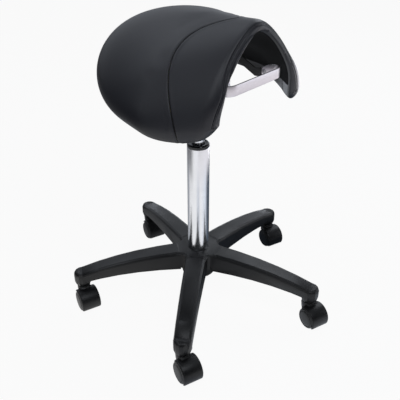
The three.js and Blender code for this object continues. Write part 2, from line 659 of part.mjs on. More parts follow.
// Height lever: two strip arms on a pivot, the paddle over the release pin and the hooked hand bar
function makeLever() {
  const barMiddle = barTop - barHeight / 2;
  const [landFoot, landTop] = [barMiddle - leverArmHeight / 2, barMiddle + leverArmHeight / 2];
  const [pivotFoot, pivotTop] = [pivotHeight - leverPivotHeight / 2, pivotHeight + leverPivotHeight / 2];
  const path = [[leverTailX, leverY, paddleTop - leverTailHeight, paddleTop]];
  path.push([pivotX - leverPivotHeight, leverY, paddleTop - leverTailHeight, paddleTop]);
  path.push([pivotX, leverY, pivotFoot, pivotTop], [leverBendX, leverY, pivotFoot, pivotTop]);
  path.push([leverLandX, leverLandY, landFoot, landTop]);
  path.push([tabX, leverLandY + leverStrip, landFoot, landTop], [tabX, tabEndY, landFoot, landTop]);
  const along = [-90, 0, 0];
  const pivotBore = rod(pivotRadius + gap, 0, plateWidth, pinSides).rotate(along);
  const hole = pivotBore.translate([pivotX, 0, pivotHeight]);
  const rivetY = tabEndY - barReturnLength / 2;
  const rivetHole = rod(rivetRadius + gap, tabX - leverStrip, barReturnX + leverStrip, boltSides);
  const rivetCut = rivetHole.rotate([0, 90, 0]).translate([0, rivetY, barMiddle]);
  const arm = strip(path).subtract(hole.add(rivetCut));
  place('lever_arm_left', arm, blackSteel());
  place('lever_arm_right', arm.mirror([0, 1, 0]), blackSteel());
  const paddleHalf = leverY - leverStrip / 2 - gap;
  const paddle = block(-paddleLength / 2, -paddleHalf, paddleFoot, paddleLength / 2, paddleHalf, paddleTop);
  place('release_paddle', paddle, blackSteel());
  const half = [[barReturnX, barStraightHalf - barReturnLength]];
  for (let step = 0; step <= barHookSteps; step += 1) {
    const turn = Math.PI * (1 - step / barHookSteps);
    const x = barX - barHookDepth * (1 - Math.cos(turn));
    half.push([x, barStraightHalf + barHookReach * Math.sin(turn)]);
  }
  const other = half.map(([x, y]) => [x, -y]).reverse();
  const bar = strip([...half, ...other].map(([x, y]) => [x, y, barTop - barHeight, barTop]));
  place('lever_bar', bar.subtract(rivetCut.add(rivetCut.mirror([0, 1, 0]))), brushed());
  const [rivetFrom, rivetTo] = [tabX - leverStrip / 2 - gap, barReturnX + leverStrip / 2 + gap];
  const [rivetFoot, rivetEnd] = [rivetFrom - rivetHeadHeight, rivetTo + rivetHeadHeight];
  const rivet = [[0, rivetFoot], [rivetHeadRadius, rivetFoot], [rivetHeadRadius, rivetFrom]];
  rivet.push([rivetRadius, rivetFrom], [rivetRadius, rivetTo], [rivetHeadRadius, rivetTo]);
  rivet.push([rivetHeadRadius, rivetEnd], [0, rivetEnd]);
  const fixed = turned(rivet, stemSides).rotate([0, 90, 0]).translate([0, rivetY, barMiddle]);
  place('lever_rivet_left', fixed, steel());
  place('lever_rivet_right', fixed.mirror([0, 1, 0]), steel());
  const pinHalf = flangeSpacing / 2 + flangeThickness + gap;
  const pinEnd = pinHalf + pivotHeadThickness;
  const pin = [[0, -pinEnd], [pivotHeadRadius, -pinEnd], [pivotHeadRadius, -pinHalf]];
  pin.push([pivotRadius, -pinHalf], [pivotRadius, pinHalf], [pivotHeadRadius, pinHalf]);
  pin.push([pivotHeadRadius, pinEnd], [0, pinEnd]);
  const pivot = turned(pin, pinSides).rotate(along).translate([pivotX, 0, pivotHeight]);
  place('lever_pivot_pin', pivot, steel());
}

// Saddle stations: upright half-sections from the front, round one side, to the middle of the rear
function frontStation(x) {
  const along = (x - saddleWideX) / (saddleFrontX - saddleWideX);
  const bulge = 4 * along * (1 - along);
  const ease = THREE.MathUtils.smoothstep(x, saddleWideX, saddleFrontX);
  const thickness = lerp(flapThickness, flapFrontThickness, along);
  const tip = Math.max(0, 1 - (saddleFrontX - x) / flapTipLength);
  const rise = flapTipRise * (1 - Math.sqrt(1 - tip * tip));
  return {
    origin: x,
    heading: [0, 1],
    along,
    reach: lerp(saddleHalfWidth, saddleFrontHalfWidth, along ** saddleFrontPower),
    crest: seatHeight - crestDip * bulge,
    rim: seatHeight - lerp(sideRimDrop, frontRimDrop, ease) - frontRimDip * bulge,
    thickness,
    nose: rimNoseShare * thickness - rise,
    crestThickness: lerp(crestThickness, frontCrestThickness, ease),
    crestFlat: lerp(crestFlatShares.side, crestFlatShares.front, along),
    flankFlat: lerp(flankFlatShares.side, flankFlatShares.front, along),
    underCrestFlat: lerp(crestFlatShares.side, crestFlatShares.frontUnder, along),
    underFlankFlat: lerp(flankFlatShares.side, flankFlatShares.frontUnder, along),
  };
}

function rearStation(turn) {
  const x = -(saddleWideX - saddleRearX) * Math.sin(turn) ** (2 / saddleRearPower);
  const y = saddleHalfWidth * Math.max(0, Math.cos(turn)) ** (2 / saddleRearPower);
  const reach = Math.hypot(x, y);
  const rear = Math.sin(turn) ** 2;
  const crestFlat = lerp(crestFlatShares.side, crestFlatShares.rear, rear);
  const flankFlat = lerp(flankFlatShares.side, flankFlatShares.rear, rear);
  return {
    origin: saddleWideX,
    heading: [x / reach, y / reach],
    along: 0,
    reach,
    crest: seatHeight,
    rim: seatHeight - lerp(sideRimDrop, rearRimDrop, rear),
    thickness: flapThickness,
    nose: rimNoseShare * flapThickness,
    crestThickness,
    crestFlat,
    flankFlat,
    underCrestFlat: crestFlat,
    underFlankFlat: flankFlat,
  };
}

// Points of an arch from its crest to its flank, moved outwards by the offset
function archPoints(reach, crest, rim, crestFlat, flankFlat, offset, steps, lastShare) {
  const knee = new THREE.Vector2(reach, lerp(rim, crest, flankFlat));
  const ends = [new THREE.Vector2(0, crest), new THREE.Vector2(reach, rim)];
  const shoulder = new THREE.Vector2(crestFlat * reach, crest);
  const curve = new THREE.CubicBezierCurve(ends[0], shoulder, knee, ends[1]);
  const points = [[0, crest + offset]];
  for (let step = 1; step <= steps; step += 1) {
    const share = lastShare * step / steps;
    const [point, tangent] = [curve.getPoint(share), curve.getTangent(share)];
    points.push([point.x - offset * tangent.y, point.y + offset * tangent.x]);
  }
  return points;
}

function underPoints(station, offset, lastShare) {
  const { reach, crest, rim, thickness, underCrestFlat, underFlankFlat } = station;
  const ceiling = crest - station.crestThickness;
  const inner = reach - thickness;
  return archPoints(inner, ceiling, rim, underCrestFlat, underFlankFlat, offset, underStepCount, lastShare);
}

function padRing(station, inset, underInset) {
  const { reach, crest, rim, thickness } = station;
  const top = archPoints(reach, crest, rim, station.crestFlat, station.flankFlat, -inset, archStepCount, 1);
  const drop = station.nose - inset;
  const half = (thickness - inset - underInset) / 2;
  const nose = [];
  for (let step = 1; step < noseStepCount; step += 1) {
    const turn = Math.PI * step / noseStepCount;
    nose.push([reach - inset - half + half * Math.cos(turn), rim - drop * Math.sin(turn)]);
  }
  return [...top, ...nose, ...underPoints(station, underInset, 1).reverse()];
}

// The room under the saddle out to an offset from its underside, down to a level or short of the rims
function roomRing(station, offset, edgeRoom, level) {
  const points = underPoints(station, offset, underWrapShare);
  const reach = points[underStepCount][0];
  const foot = level ?? underPoints(station, 0, underWrapShare)[underStepCount][1] - edgeRoom;
  return [...points, [reach, foot], [0, foot]];
}

function atStation(station, [out, height]) {
  const lean = frontLean * station.along * (height - seatHeight + frontLeanHeight) / frontLeanHeight;
  return [station.origin + out * station.heading[0] - lean, out * station.heading[1], height];
}

// A solid through the half-sections of one side and their mirror images
function saddleSolid(sections) {
  const near = sections.map(([station, ring]) => ring.map((point) => atStation(station, point)));
  const far = near.map((ring) => ring.map(([x, y, z]) => [x, -y, z])).reverse();
  const rings = [...near, ...far];
  const count = rings[0].length;
  const index = [];
  for (let i = 0; i + 1 < rings.length; i += 1) {
    for (let j = 0; j + 1 < count; j += 1) {
      const [a, b, c, d] = [i * count + j, i * count + j + 1, (i + 1) * count + j + 1, (i + 1) * count + j];
      index.push(a, b, c, a, c, d);
    }
  }
  const outline = sections[0][1].map(([out, height]) => new THREE.Vector2(out, height));
  const last = (rings.length - 1) * count;
  const facing = Math.sign(THREE.ShapeUtils.area(outline));
  for (const [a, b, c] of THREE.ShapeUtils.triangulateShape(outline, [])) {
    const same = Math.sign(THREE.ShapeUtils.area([outline[a], outline[b], outline[c]])) === facing;
    const [second, third] = same ? [b, c] : [c, b];
    index.push(a, third, second, last + a, last + second, last + third);
  }
  const geometry = new THREE.BufferGeometry();
  geometry.setAttribute('position', new THREE.Float32BufferAttribute(rings.flat(2), 3));
  geometry.setIndex(index);
  return solid(geometry);
}

function rearStations() {
  const stations = [];
  for (let step = 0; step <= fanStepCount; step += 1) {
    stations.push(rearStation(Math.PI / 2 * step / fanStepCount));
  }
  return stations;
}

function innerStations(frontX) {
  const xs = frontStationShares.map((share) => lerp(saddleWideX, saddleFrontX, share));
  return xs.filter((x) => x < frontX).reverse().map(frontStation);
}

function padSolid(inset) {
  const sections = [];
  for (const share of [...frontRoundShares].reverse()) {
    const turn = share * Math.PI / 2;
    const x = saddleFrontX - frontRoundRadius + (frontRoundRadius - inset) * Math.sin(turn);
    const station = frontStation(x);
    const insetAt = (radius) => radius - (radius - inset) * Math.cos(turn);
    sections.push([station, padRing(station, insetAt(frontRoundRadius), insetAt(frontUnderRadius))]);
  }
  const others = [...innerStations(saddleFrontX - frontRoundRadius), ...rearStations()];
  for (const station of others) sections.push([station, padRing(station, inset, inset)]);
  return saddleSolid(sections);
}

function roomSolid(offset, edgeRoom, level) {
  const frontX = saddleFrontX - frontWrap + edgeRoom;
  const stations = [frontStation(frontX), ...innerStations(frontX), ...rearStations()];
  return saddleSolid(stations.map((station) => [station, roomRing(station, offset, edgeRoom, level)]));
}

// Saddle: the sewn cover in two panels, the foam, the moulded shell with its bosses and the lining
function makeSaddle() {
  const shellInner = liningThickness + gap;
  const shellOuter = shellInner + shellThickness;
  const underFoam = roomSolid(shellOuter + gap, shellEdgeRoom);
  const cover = padSolid(0).subtract(padSolid(coverThickness)).subtract(underFoam);
  const far = saddleHalfWidth * 2;
  const seam = block(0, -far, -far, far * 2, far, far).rotate([0, -seamLeanDegrees, 0]);
  const seamHeight = undersideHeight - flapThickness;
  const rearCut = seam.translate([seamX - gap / 2, 0, seamHeight]);
  const frontCut = seam.translate([seamX + gap / 2, 0, seamHeight]);
  place('saddle_cover_rear', cover.subtract(rearCut), leather());
  place('saddle_cover_front', cover.intersect(frontCut), leather());
  place('foam_pad', padSolid(coverThickness + gap).subtract(underFoam), foamStuff());
  const bossTop = undersideHeight + gap;
  const boss = rod(bossRadius, plateTop + gap, bossTop, washerSides);
  const bossCut = rod(bossRadius + bossRoom, plateTop, bossTop, washerSides);
  const holeTop = plateFoot + boltLength + gap;
  const screwHole = rod(boltRadius + gap, plateTop - cutOverrun, holeTop, pinSides);
  const at = (shape) => joined(boltSpots().map(([x, y]) => shape.translate([x, y, 0])));
  const shell = roomSolid(shellOuter, 0).subtract(roomSolid(shellInner, cutOverrun, underFloor));
  place('seat_shell', shell.add(at(boss)).subtract(at(screwHole)), polymer());
  const lining = roomSolid(liningThickness, 0).subtract(roomSolid(0, cutOverrun, underFloor));
  place('seat_lining', lining.subtract(at(bossCut)), polymer());
}

makeBase();
makeCastors();
makeColumn();
makePlate();
makeBolts();
makeLever();
makeSaddle();

// The frame's origin is the middle of the footprint at floor level
const footprint = new THREE.Box3().setFromObject(stool);
const middle = footprint.getCenter(new THREE.Vector3());
stool.position.set(-middle.x, -middle.y, -footprint.min.z);

export default stool;
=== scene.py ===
# %% [markdown]
# # A saddle stool
# A padded saddle rides on a gas column and a five-arm base with twin-wheel castors. The measured
# model in model.glb is loaded as a fixed frame, and every piece below is made around it.

# %% Load the frame
import json
import math

import bmesh
import bpy
import numpy as np
from mathutils import Matrix, Vector
from mathutils.kdtree import KDTree

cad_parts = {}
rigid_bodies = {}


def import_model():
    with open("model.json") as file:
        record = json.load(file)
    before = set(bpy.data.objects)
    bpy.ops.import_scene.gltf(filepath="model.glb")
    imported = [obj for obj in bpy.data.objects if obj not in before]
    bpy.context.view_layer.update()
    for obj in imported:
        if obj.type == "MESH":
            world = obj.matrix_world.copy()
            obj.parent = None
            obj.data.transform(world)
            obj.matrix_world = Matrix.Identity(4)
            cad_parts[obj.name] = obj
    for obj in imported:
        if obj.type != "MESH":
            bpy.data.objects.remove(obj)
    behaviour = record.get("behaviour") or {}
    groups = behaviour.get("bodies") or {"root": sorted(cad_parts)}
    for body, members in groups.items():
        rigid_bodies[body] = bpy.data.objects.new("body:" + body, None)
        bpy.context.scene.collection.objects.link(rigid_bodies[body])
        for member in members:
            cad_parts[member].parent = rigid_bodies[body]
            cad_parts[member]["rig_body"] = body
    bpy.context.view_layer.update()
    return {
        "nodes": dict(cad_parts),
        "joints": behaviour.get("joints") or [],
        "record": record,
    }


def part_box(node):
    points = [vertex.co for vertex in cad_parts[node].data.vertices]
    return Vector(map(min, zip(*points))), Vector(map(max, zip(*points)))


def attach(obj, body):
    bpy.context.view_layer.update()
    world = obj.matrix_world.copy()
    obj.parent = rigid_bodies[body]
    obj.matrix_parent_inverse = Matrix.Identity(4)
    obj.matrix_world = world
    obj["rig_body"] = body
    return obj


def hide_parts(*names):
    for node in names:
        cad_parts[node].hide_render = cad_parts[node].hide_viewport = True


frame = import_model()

nodes = frame["nodes"]
mm = 0.001

# %% [markdown]
# Every measurement hangs on one upright line, the axis of the column, which is read from the frame.

# %% The column's axis


def foot_of(name):
    """The point on the floor under the middle of a node."""
    low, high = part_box(name)
    return Vector(((low.x + high.x) / 2, (low.y + high.y) / 2, 0))


def heights(name):
    """The foot and the top of a node in millimetres."""
    return [corner.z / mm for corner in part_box(name)]


AXIS = foot_of("column_tube")
ORIGIN = Vector((0, 0, 0))
print("column axis at", [round(value / mm, 2) for value in AXIS])


def between(first, second, share):
    return first + (second - first) * share


# %% [markdown]
# ## Camera
# The photograph looks down on the stool from the front right. A slightly long lens keeps the near
# and far castors close in size, as a product photographer would.

# %% Camera
bpy.ops.object.camera_add(location=(0.7624, -0.8655, 0.954))
camera = bpy.context.object
aim = Vector((-0.0132, -0.0191, 0.2571)) - camera.location
camera.rotation_euler = aim.to_track_quat("-Z", "Y").to_euler()
camera.data.lens = 52.4
camera.data.sensor_width = 36
bpy.context.scene.camera = camera
bpy.context.scene.view_settings.view_transform = "Standard"

# %% [markdown]
# ## Light
# A white studio: one broad lamp over the left shoulder draws the sheen on the leather and one behind
# picks out the crest. One high over the front finds the rim seam, one at the side lights the far
# flap's edge, and a low one stands for the light that a white floor throws back up.

# %% Lamps


def softbox(name, place, target, size, power):
    """A square area lamp that looks at a point."""
    bpy.ops.object.light_add(type="AREA", location=place)
    lamp = bpy.context.object
    lamp.name = name
    lamp.data.size = size
    lamp.data.energy = power
    lamp.data.color = (0.9, 0.94, 1.0)
    lamp.rotation_euler = (Vector(target) - Vector(place)).to_track_quat("-Z", "Y").to_euler()


softbox("key_lamp", (-0.5, -1.7, 2.1), (0, 0, 0.45), 1.6, 5)
softbox("rim_lamp", (-0.4, 1.9, 1.9), (0, 0, 0.5), 1.4, 12)
softbox("front_lamp", (1.0, -0.5, 2.1), (0.1, 0, 0.6), 1.1, 11)
softbox("side_lamp", (1.5, 1.7, 0.75), (0.1, 0, 0.6), 1.2, 7)
softbox("low_lamp", (0.7, -1.7, 0.4), (0, 0, 0.5), 1.4, 2)

# %% [markdown]
# ## Writing shaders as sums
# Surface patterns are easier to read as arithmetic. `Signal` wraps one socket, and adding or
# multiplying two signals adds the Math node that does it.

# %% A socket that can be added and multiplied


class Signal:
    """One output socket; arithmetic on it adds Math nodes to its tree."""

    def __init__(self, tree, socket):
        self.tree = tree
        self.socket = socket

    def math(self, operation, first, second=0.0):
        node = self.tree.nodes.new("ShaderNodeMath")
        node.operation = operation
        for slot, value in enumerate((first, second)):
            feed(self.tree, node.inputs[slot], value)
        return Signal(self.tree, node.outputs[0])

    def __add__(self, other):
        return self.math("ADD", self, other)

    def __sub__(self, other):
        return self.math("SUBTRACT", self, other)

    def __mul__(self, other):
        return self.math("MULTIPLY", self, other)

    def __pow__(self, other):
        return self.math("POWER", self, other)


def feed(tree, socket, value):
    """Links a signal to a socket, or writes a plain value on it."""
    if isinstance(value, Signal):
        tree.links.new(value.socket, socket)
    else:
        socket.default_value = value


class Nodes:
    """A node tree. A node that is added gives its outputs by name, as signals."""

    def __init__(self, tree):
        self.tree = tree

    def node(self, kind, settings=None, **values):
        """Adds a node; a value goes to the input of its name, or as _2 to input 2."""
        node = self.tree.nodes.new("ShaderNode" + kind)
        for name, value in (settings or {}).items():
            if name == "stops":
                while len(node.color_ramp.elements) < len(value):
                    node.color_ramp.elements.new(1)
                for element, (position, colour) in zip(node.color_ramp.elements, value):
                    element.position = position
                    element.color = (*colour, 1)
            else:
                setattr(node, name, value)
        for name, value in values.items():
            numbered = name[1:].isdigit()
            socket = node.inputs[int(name[1:]) if numbered else name.replace("_", " ")]
            feed(self.tree, socket, value)
        return {output.name: Signal(self.tree, output) for output in reversed(node.outputs)}


# %% [markdown]
# Each finish is one Principled shader. What is the same all over is set on the shader itself, and
# what changes over the surface reaches its colour, roughness or bump through nodes.

# %% A finish and its nodes
EVEN = (1, 1, 1)


class Finish(Nodes):
    """A named material with one Principled shader."""

    def __init__(self, name, **constants):
        self.material = bpy.data.materials.new(name)
        self.material.use_nodes = True
        super().__init__(self.material.node_tree)
        self.shader = self.tree.nodes["Principled BSDF"]
        self.set(**constants)
        self.place = self.node("TexCoord")["Object"]

    def set(self, **values):
        for name, value in values.items():
            feed(self.tree, self.shader.inputs[name.replace("_", " ")], value)

    def noise(self, scale, detail=2.0, stretch=EVEN):
        place = self.node("Mapping", Vector=self.place, Scale=stretch)["Vector"]
        return self.node("TexNoise", Vector=place, Scale=scale, Detail=detail)["Fac"]

    def ramp(self, signal, stops):
        return self.node("ValToRGB", {"stops": stops}, Fac=signal)["Color"]

    def mix(self, share, first, second):
        node = self.tree.nodes.new("ShaderNodeMix")
        node.data_type = "RGBA"
        for index, value in ((0, share), (6, first), (7, second)):
            feed(self.tree, node.inputs[index], value)
        return Signal(self.tree, node.outputs[2])

    def level(self, signal, low, high, start=0.0, end=1.0):
        parts = {"From_Min": low, "From_Max": high, "To_Min": start, "To_Max": end}
        return self.node("MapRange", Value=signal, **parts)["Result"]

    def bump(self, height, strength, depth):
        normal = self.node("Bump", Height=height, Strength=strength, Distance=depth)["Normal"]
        self.set(Normal=normal)


def speckled(name, scale, detail, colours, shine, relief=None, stretch=EVEN, **constants):
    """A finish whose colour, roughness and bump all follow one noise."""
    finish = Finish(name, **constants)
    speck = finish.noise(scale, detail, stretch)
    roughness = finish.level(speck, 0.3, 0.7, *shine)
    finish.set(Base_Color=finish.ramp(speck, colours), Roughness=roughness)
    if relief:
        finish.bump(speck, *relief)
    return finish


# %% [markdown]
# ## Leather
# The cover is black coated leather with a grain of tiny pebbles about a millimetre wide, and its
# sheen wanders slowly over the seat. In the seams the colour is painted darker towards black, as
# shade in the seam grooves: the saddle's cover carries an attribute that says how near a seam is.

# %% Black leather
leather = Finish("black leather", IOR=1.5)
pebbles = leather.node("TexVoronoi", {"feature": "SMOOTH_F1"}, Vector=leather.place, Scale=900.0)
leather_grain = pebbles["Distance"] + leather.noise(1800.0) * 0.5
leather_cloud = leather.noise(9.0, 3.0)
seam_shade_attribute = leather.node("Attribute", {"attribute_name": "near_seam"})["Fac"]
# How far the colour sinks to black near a seam: painted shade in the seam grooves.
seam_shade_share = leather.level(seam_shade_attribute, 0.2, 1.0, 0.0, 0.75)
leather_blacks = [(0.3, (0.0165, 0.0170, 0.0225)), (0.7, (0.0205, 0.0212, 0.0275))]
seam_painted_shade = (0.002, 0.002, 0.0025, 1)
leather.set(
    Base_Color=leather.mix(seam_shade_share, leather.ramp(leather_cloud, leather_blacks), seam_painted_shade),
    Roughness=leather.level(leather_cloud + leather_grain * 0.1, 0.3, 0.9, 0.38, 0.5),
)
leather.bump(leather_grain, 0.25, 0.08 * mm)

# %% [markdown]
# ## Nylon
# The base and castors are moulded in black glass-filled nylon. The mould leaves a fine even
# texture, so highlights spread.

# %% Black nylon
nylon = Finish("black nylon", IOR=1.5, Specular_IOR_Level=0.4)
nylon_texture = nylon.noise(1500.0, 3.0)
nylon_cloud = nylon.noise(14.0, 3.0)
nylon_blacks = [(0.3, (0.0060, 0.0060, 0.0066)), (0.75, (0.0092, 0.0092, 0.0101))]
nylon.set(
    Base_Color=nylon.ramp(nylon_cloud, nylon_blacks),
    Roughness=nylon.level(nylon_cloud, 0.3, 0.7, 0.38, 0.48),
)
nylon.bump(nylon_texture, 0.3, 0.06 * mm)

# %% [markdown]
# ## Chrome
# Chrome is almost a mirror. A trace of fine polishing lines runs round the tube, with a few faint
# handling marks.

# %% Chrome
chrome = Finish("chrome", Metallic=1.0)
chrome_lines = chrome.noise(60.0, 2.0, (1, 1, 40))
chrome_marks = chrome.noise(25.0, 4.0)
chrome.set(
    Base_Color=chrome.ramp(chrome_marks, [(0.35, (0.80, 0.81, 0.84)), (0.65, (0.87, 0.88, 0.91))]),
    Roughness=chrome.level(chrome_lines + chrome_marks * 0.5, 0.5, 1.1, 0.2, 0.28),
)
chrome.bump(chrome_lines, 0.05, 0.02 * mm)

# %% [markdown]
# ## Brushed bar
# The hand bar is a strip with a brushed face: hair-fine scratches that run along its length, which
# stretch the highlights across the strip.

# %% Brushed metal
brushed_greys = [(0.3, (0.64, 0.615, 0.65)), (0.7, (0.76, 0.735, 0.77))]
lengthwise = (6, 0.25, 14)
brushed = speckled(
    "brushed strip", 220.0, 3.0, brushed_greys, (0.28, 0.42), (0.2, 0.03 * mm), lengthwise, Metallic=1.0
)

# %% [markdown]
# ## Small parts
# Zinc-plated screws and pins are pale and slightly cloudy, the pressed mechanism is powder coated
# with a soft orange-peel skin, the buffer is matt rubber, and the shell and lining are dark plastic
# and felt. The felt is set darker than black felt is, as painted shade under the seat. They are
# mostly hidden, but each shows from below or with the seat raised.

# %% Steel, powder coat, rubber, plastic, felt and foam
zinc_greys = [(0.3, (0.42, 0.43, 0.45)), (0.7, (0.60, 0.60, 0.61))]
powder_blacks = [(0.3, (0.014, 0.014, 0.015)), (0.8, (0.024, 0.024, 0.026))]
rubber_blacks = [(0.35, (0.012, 0.012, 0.012)), (0.8, (0.03, 0.03, 0.03))]
plastic_blacks = [(0.3, (0.018, 0.018, 0.02)), (0.8, (0.03, 0.03, 0.033))]
# The lining felt is almost black: partly its own black, partly painted shade under the seat.
felt_black_and_shade = [(0.35, (0.004, 0.004, 0.0045)), (0.7, (0.009, 0.009, 0.0095))]
zinc = speckled(
    "zinc-plated steel", 160.0, 4.0, zinc_greys, (0.28, 0.45), (0.1, 0.05 * mm), Metallic=1.0
)
powder_coat = speckled(
    "black powder coat", 420.0, 2.0, powder_blacks, (0.35, 0.5), (0.4, 0.1 * mm), IOR=1.5
)
rubber = speckled(
    "black rubber", 70.0, 4.0, rubber_blacks, (0.75, 0.9), (0.15, 0.1 * mm), IOR=1.45
)
plastic = speckled(
    "moulded plastic", 300.0, 3.0, plastic_blacks, (0.5, 0.65), (0.2, 0.08 * mm), IOR=1.48
)
felt = speckled(
    "lining felt", 1100.0, 4.0, felt_black_and_shade, (0.8, 0.95), (0.6, 0.2 * mm), Specular_IOR_Level=0.2
)

foam = Finish("cut foam", Subsurface_Weight=0.1, Subsurface_Scale=0.004)
foam_cells = foam.node("TexVoronoi", Vector=foam.place, Scale=1300.0)["Distance"]
foam.set(
    Base_Color=foam.ramp(foam_cells, [(0.1, (0.80, 0.72, 0.45)), (0.7, (0.62, 0.53, 0.28))]),
    Roughness=foam.level(foam_cells, 0, 0.8, 0.8, 0.95),
)
foam.bump(foam_cells, 0.7, 0.25 * mm)
print("finishes:", len(bpy.data.materials))

# %% [markdown]
# ## Working by hand in edit mode
# Operators act on whatever is selected, so each step starts by clearing the selection. These
# helpers edit a piece, run a modifier, and hand the finished piece to the frame.

# %% Helpers for modelling


def nothing_selected():
    if bpy.context.mode != "OBJECT":
        bpy.ops.object.mode_set(mode="OBJECT")
    bpy.ops.object.select_all(action="DESELECT")


def take(piece):
    nothing_selected()
    piece.select_set(True)
    bpy.context.view_layer.objects.active = piece


def edit(piece, kind="VERT"):
    take(piece)
    bpy.ops.object.mode_set(mode="EDIT")
    bpy.ops.mesh.select_mode(type=kind)


def edit_all(piece):
    edit(piece)
    bpy.ops.mesh.select_all(action="SELECT")


def face_outwards(piece):
    edit_all(piece)
    bpy.ops.mesh.normals_make_consistent(inside=False)
    nothing_selected()


def weld(piece, distance):
    """Merges points that lie closer than a distance in millimetres."""
    edit_all(piece)
    bpy.ops.mesh.remove_doubles(threshold=distance * mm)
    nothing_selected()


def pull(step):
    """Extrudes what is selected by a step in millimetres."""
    move = [value * mm for value in step]
    bpy.ops.mesh.extrude_region_move(TRANSFORM_OT_translate={"value": move})


def new_piece(name, mesh):
    """A piece with this mesh, linked to the scene."""
    piece = bpy.data.objects.new(name, mesh)
    bpy.context.scene.collection.objects.link(piece)
    return piece


def modify(piece, kind, **settings):
    take(piece)
    modifier = piece.modifiers.new(kind.lower(), kind)
    for name, value in settings.items():
        setattr(modifier, name, value)
    bpy.ops.object.modifier_apply(modifier=modifier.name)


def combine(piece, operation, other):
    """Adds another piece, or takes its shape away, and removes it."""
    modify(piece, "BOOLEAN", operation=operation, object=other, solver="EXACT")
    bpy.data.objects.remove(other)


def place_in_mesh(piece):
    take(piece)
    bpy.ops.object.transform_apply(location=True, rotation=True, scale=True)


def smooth(piece, angle=35):
    take(piece)
    bpy.ops.object.shade_smooth_by_angle(angle=math.radians(angle))


def dress(piece, finish):
    piece.data.materials.clear()
    piece.data.materials.append(finish.material)


def hand_over(piece, name, finish, stands_for):
    """Names a finished piece, dresses it and lets it ride where the node it replaces rode."""
    nothing_selected()
    piece.name = name
    dress(piece, finish)
    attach(piece, nodes[stands_for]["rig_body"])
    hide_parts(stands_for)


# %% [markdown]
# The CAD nodes that stay as they are take their finish by what they are made of. The record names
# a material slot for each node, so one table of slots dresses them all.

# %% Dress the CAD nodes
slot_finish = {
    "black_nylon": nylon,
    "chromed_tube": chrome,
    "zinc_steel": zinc,
    "black_steel": powder_coat,
    "brushed_strip": brushed,
    "black_rubber": rubber,
    "black_leather": leather,
    "foam": foam,
    "moulded_polymer": plastic,
}
slot_of = {part["node"]: part["material_slot"] for part in frame["record"]["subparts"]}
for name, node in nodes.items():
    dress(node, slot_finish[slot_of[name]])

# %% [markdown]
# ## The column
# Tube, collar and gas cylinder are turned shapes. The way to make one is a lathe: one point is
# pulled along half of the outline, and the chain that it leaves is spun round the axis.

# %% A chain of points and a lathe


def chain(places):
    """Pulls one point along places in millimetres; the chain stays selected in edit mode."""
    nothing_selected()
    bpy.ops.mesh.primitive_plane_add(size=mm)
    piece = bpy.context.object
    edit_all(piece)
    bpy.ops.mesh.merge(type="CENTER")
    bpy.ops.transform.translate(value=[value * mm for value in places[0]])
    for before, after in zip(places, places[1:]):
        pull([end - start for start, end in zip(before, after)])
    bpy.ops.mesh.select_all(action="SELECT")
    return piece


def lathe(outline, steps=96, centre=AXIS):
    """Spins (radius, height) points about an upright line; off the axis, the outline is closed."""
    closing = outline[:1] if outline[0][0] else []
    piece = chain([(radius, 0, height) for radius, height in outline + closing])
    bpy.ops.mesh.spin(steps=steps, angle=2 * math.pi, center=(0, 0, 0), axis=(0, 0, 1))
    weld(piece, 0.01)
    face_outwards(piece)
    piece.location = centre
    place_in_mesh(piece)
    return piece


def rounded(piece, width, segments=3, angle=30, shading=35):
    corners = {"limit_method": "ANGLE", "angle_limit": math.radians(angle)}
    modify(piece, "BEVEL", width=width * mm, segments=segments, use_clamp_overlap=True, **corners)
    smooth(piece, shading)
    return piece


# %% [markdown]
# The tube is a plain 50 mm pipe that narrows a little where it sits in the hub. Its cut end is
# softened by a small bevel, which is where chrome always shows a bright line.

# %% Chromed tube, collar and gas cylinder
tube_foot, tube_top = heights("column_tube")
tube_radius = (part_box("column_tube")[1].x - AXIS.x) / mm
tube_wall, tube_floor = 1.6, 3
taper_top, taper = 130, 1
rod_hole = 5.3
tube_outline = [
    (tube_radius - taper, tube_foot),
    (tube_radius, taper_top),
    (tube_radius, tube_top),
    (tube_radius - tube_wall, tube_top),
    (tube_radius - tube_wall, taper_top),
    (tube_radius - taper - tube_wall, tube_foot + tube_floor),
    (rod_hole, tube_foot + tube_floor),
    (rod_hole, tube_foot),
]
column = rounded(lathe(tube_outline), 0.5)
hand_over(column, "column_tube_chromed", chrome, "column_tube")

collar_blacks = [(0.3, (0.007, 0.007, 0.008)), (0.8, (0.014, 0.014, 0.016))]
collar_plastic = speckled("collar plastic", 40.0, 3.0, collar_blacks, (0.14, 0.24), IOR=1.52)
bush_foot, bush_top = heights("guide_bush")
bush_bore, bush_slack, collar_chamfer = 14.3, 0.3, 2.4
bush_side = tube_radius - tube_wall - bush_slack
bush_outline = [
    (bush_bore, bush_foot),
    (bush_side, bush_foot),
    (bush_side, tube_top + bush_slack),
    (tube_radius, tube_top + bush_slack),
    (tube_radius, bush_top - collar_chamfer),
    (tube_radius - collar_chamfer, bush_top),
    (19.5, bush_top),
    (18.6, bush_top - 1.6),
    (bush_bore + 1, bush_top - 1.6),
    (bush_bore, bush_top - 2.6),
]
bush = rounded(lathe(bush_outline), 0.7)
hand_over(bush, "guide_bush_collar", collar_plastic, "guide_bush")

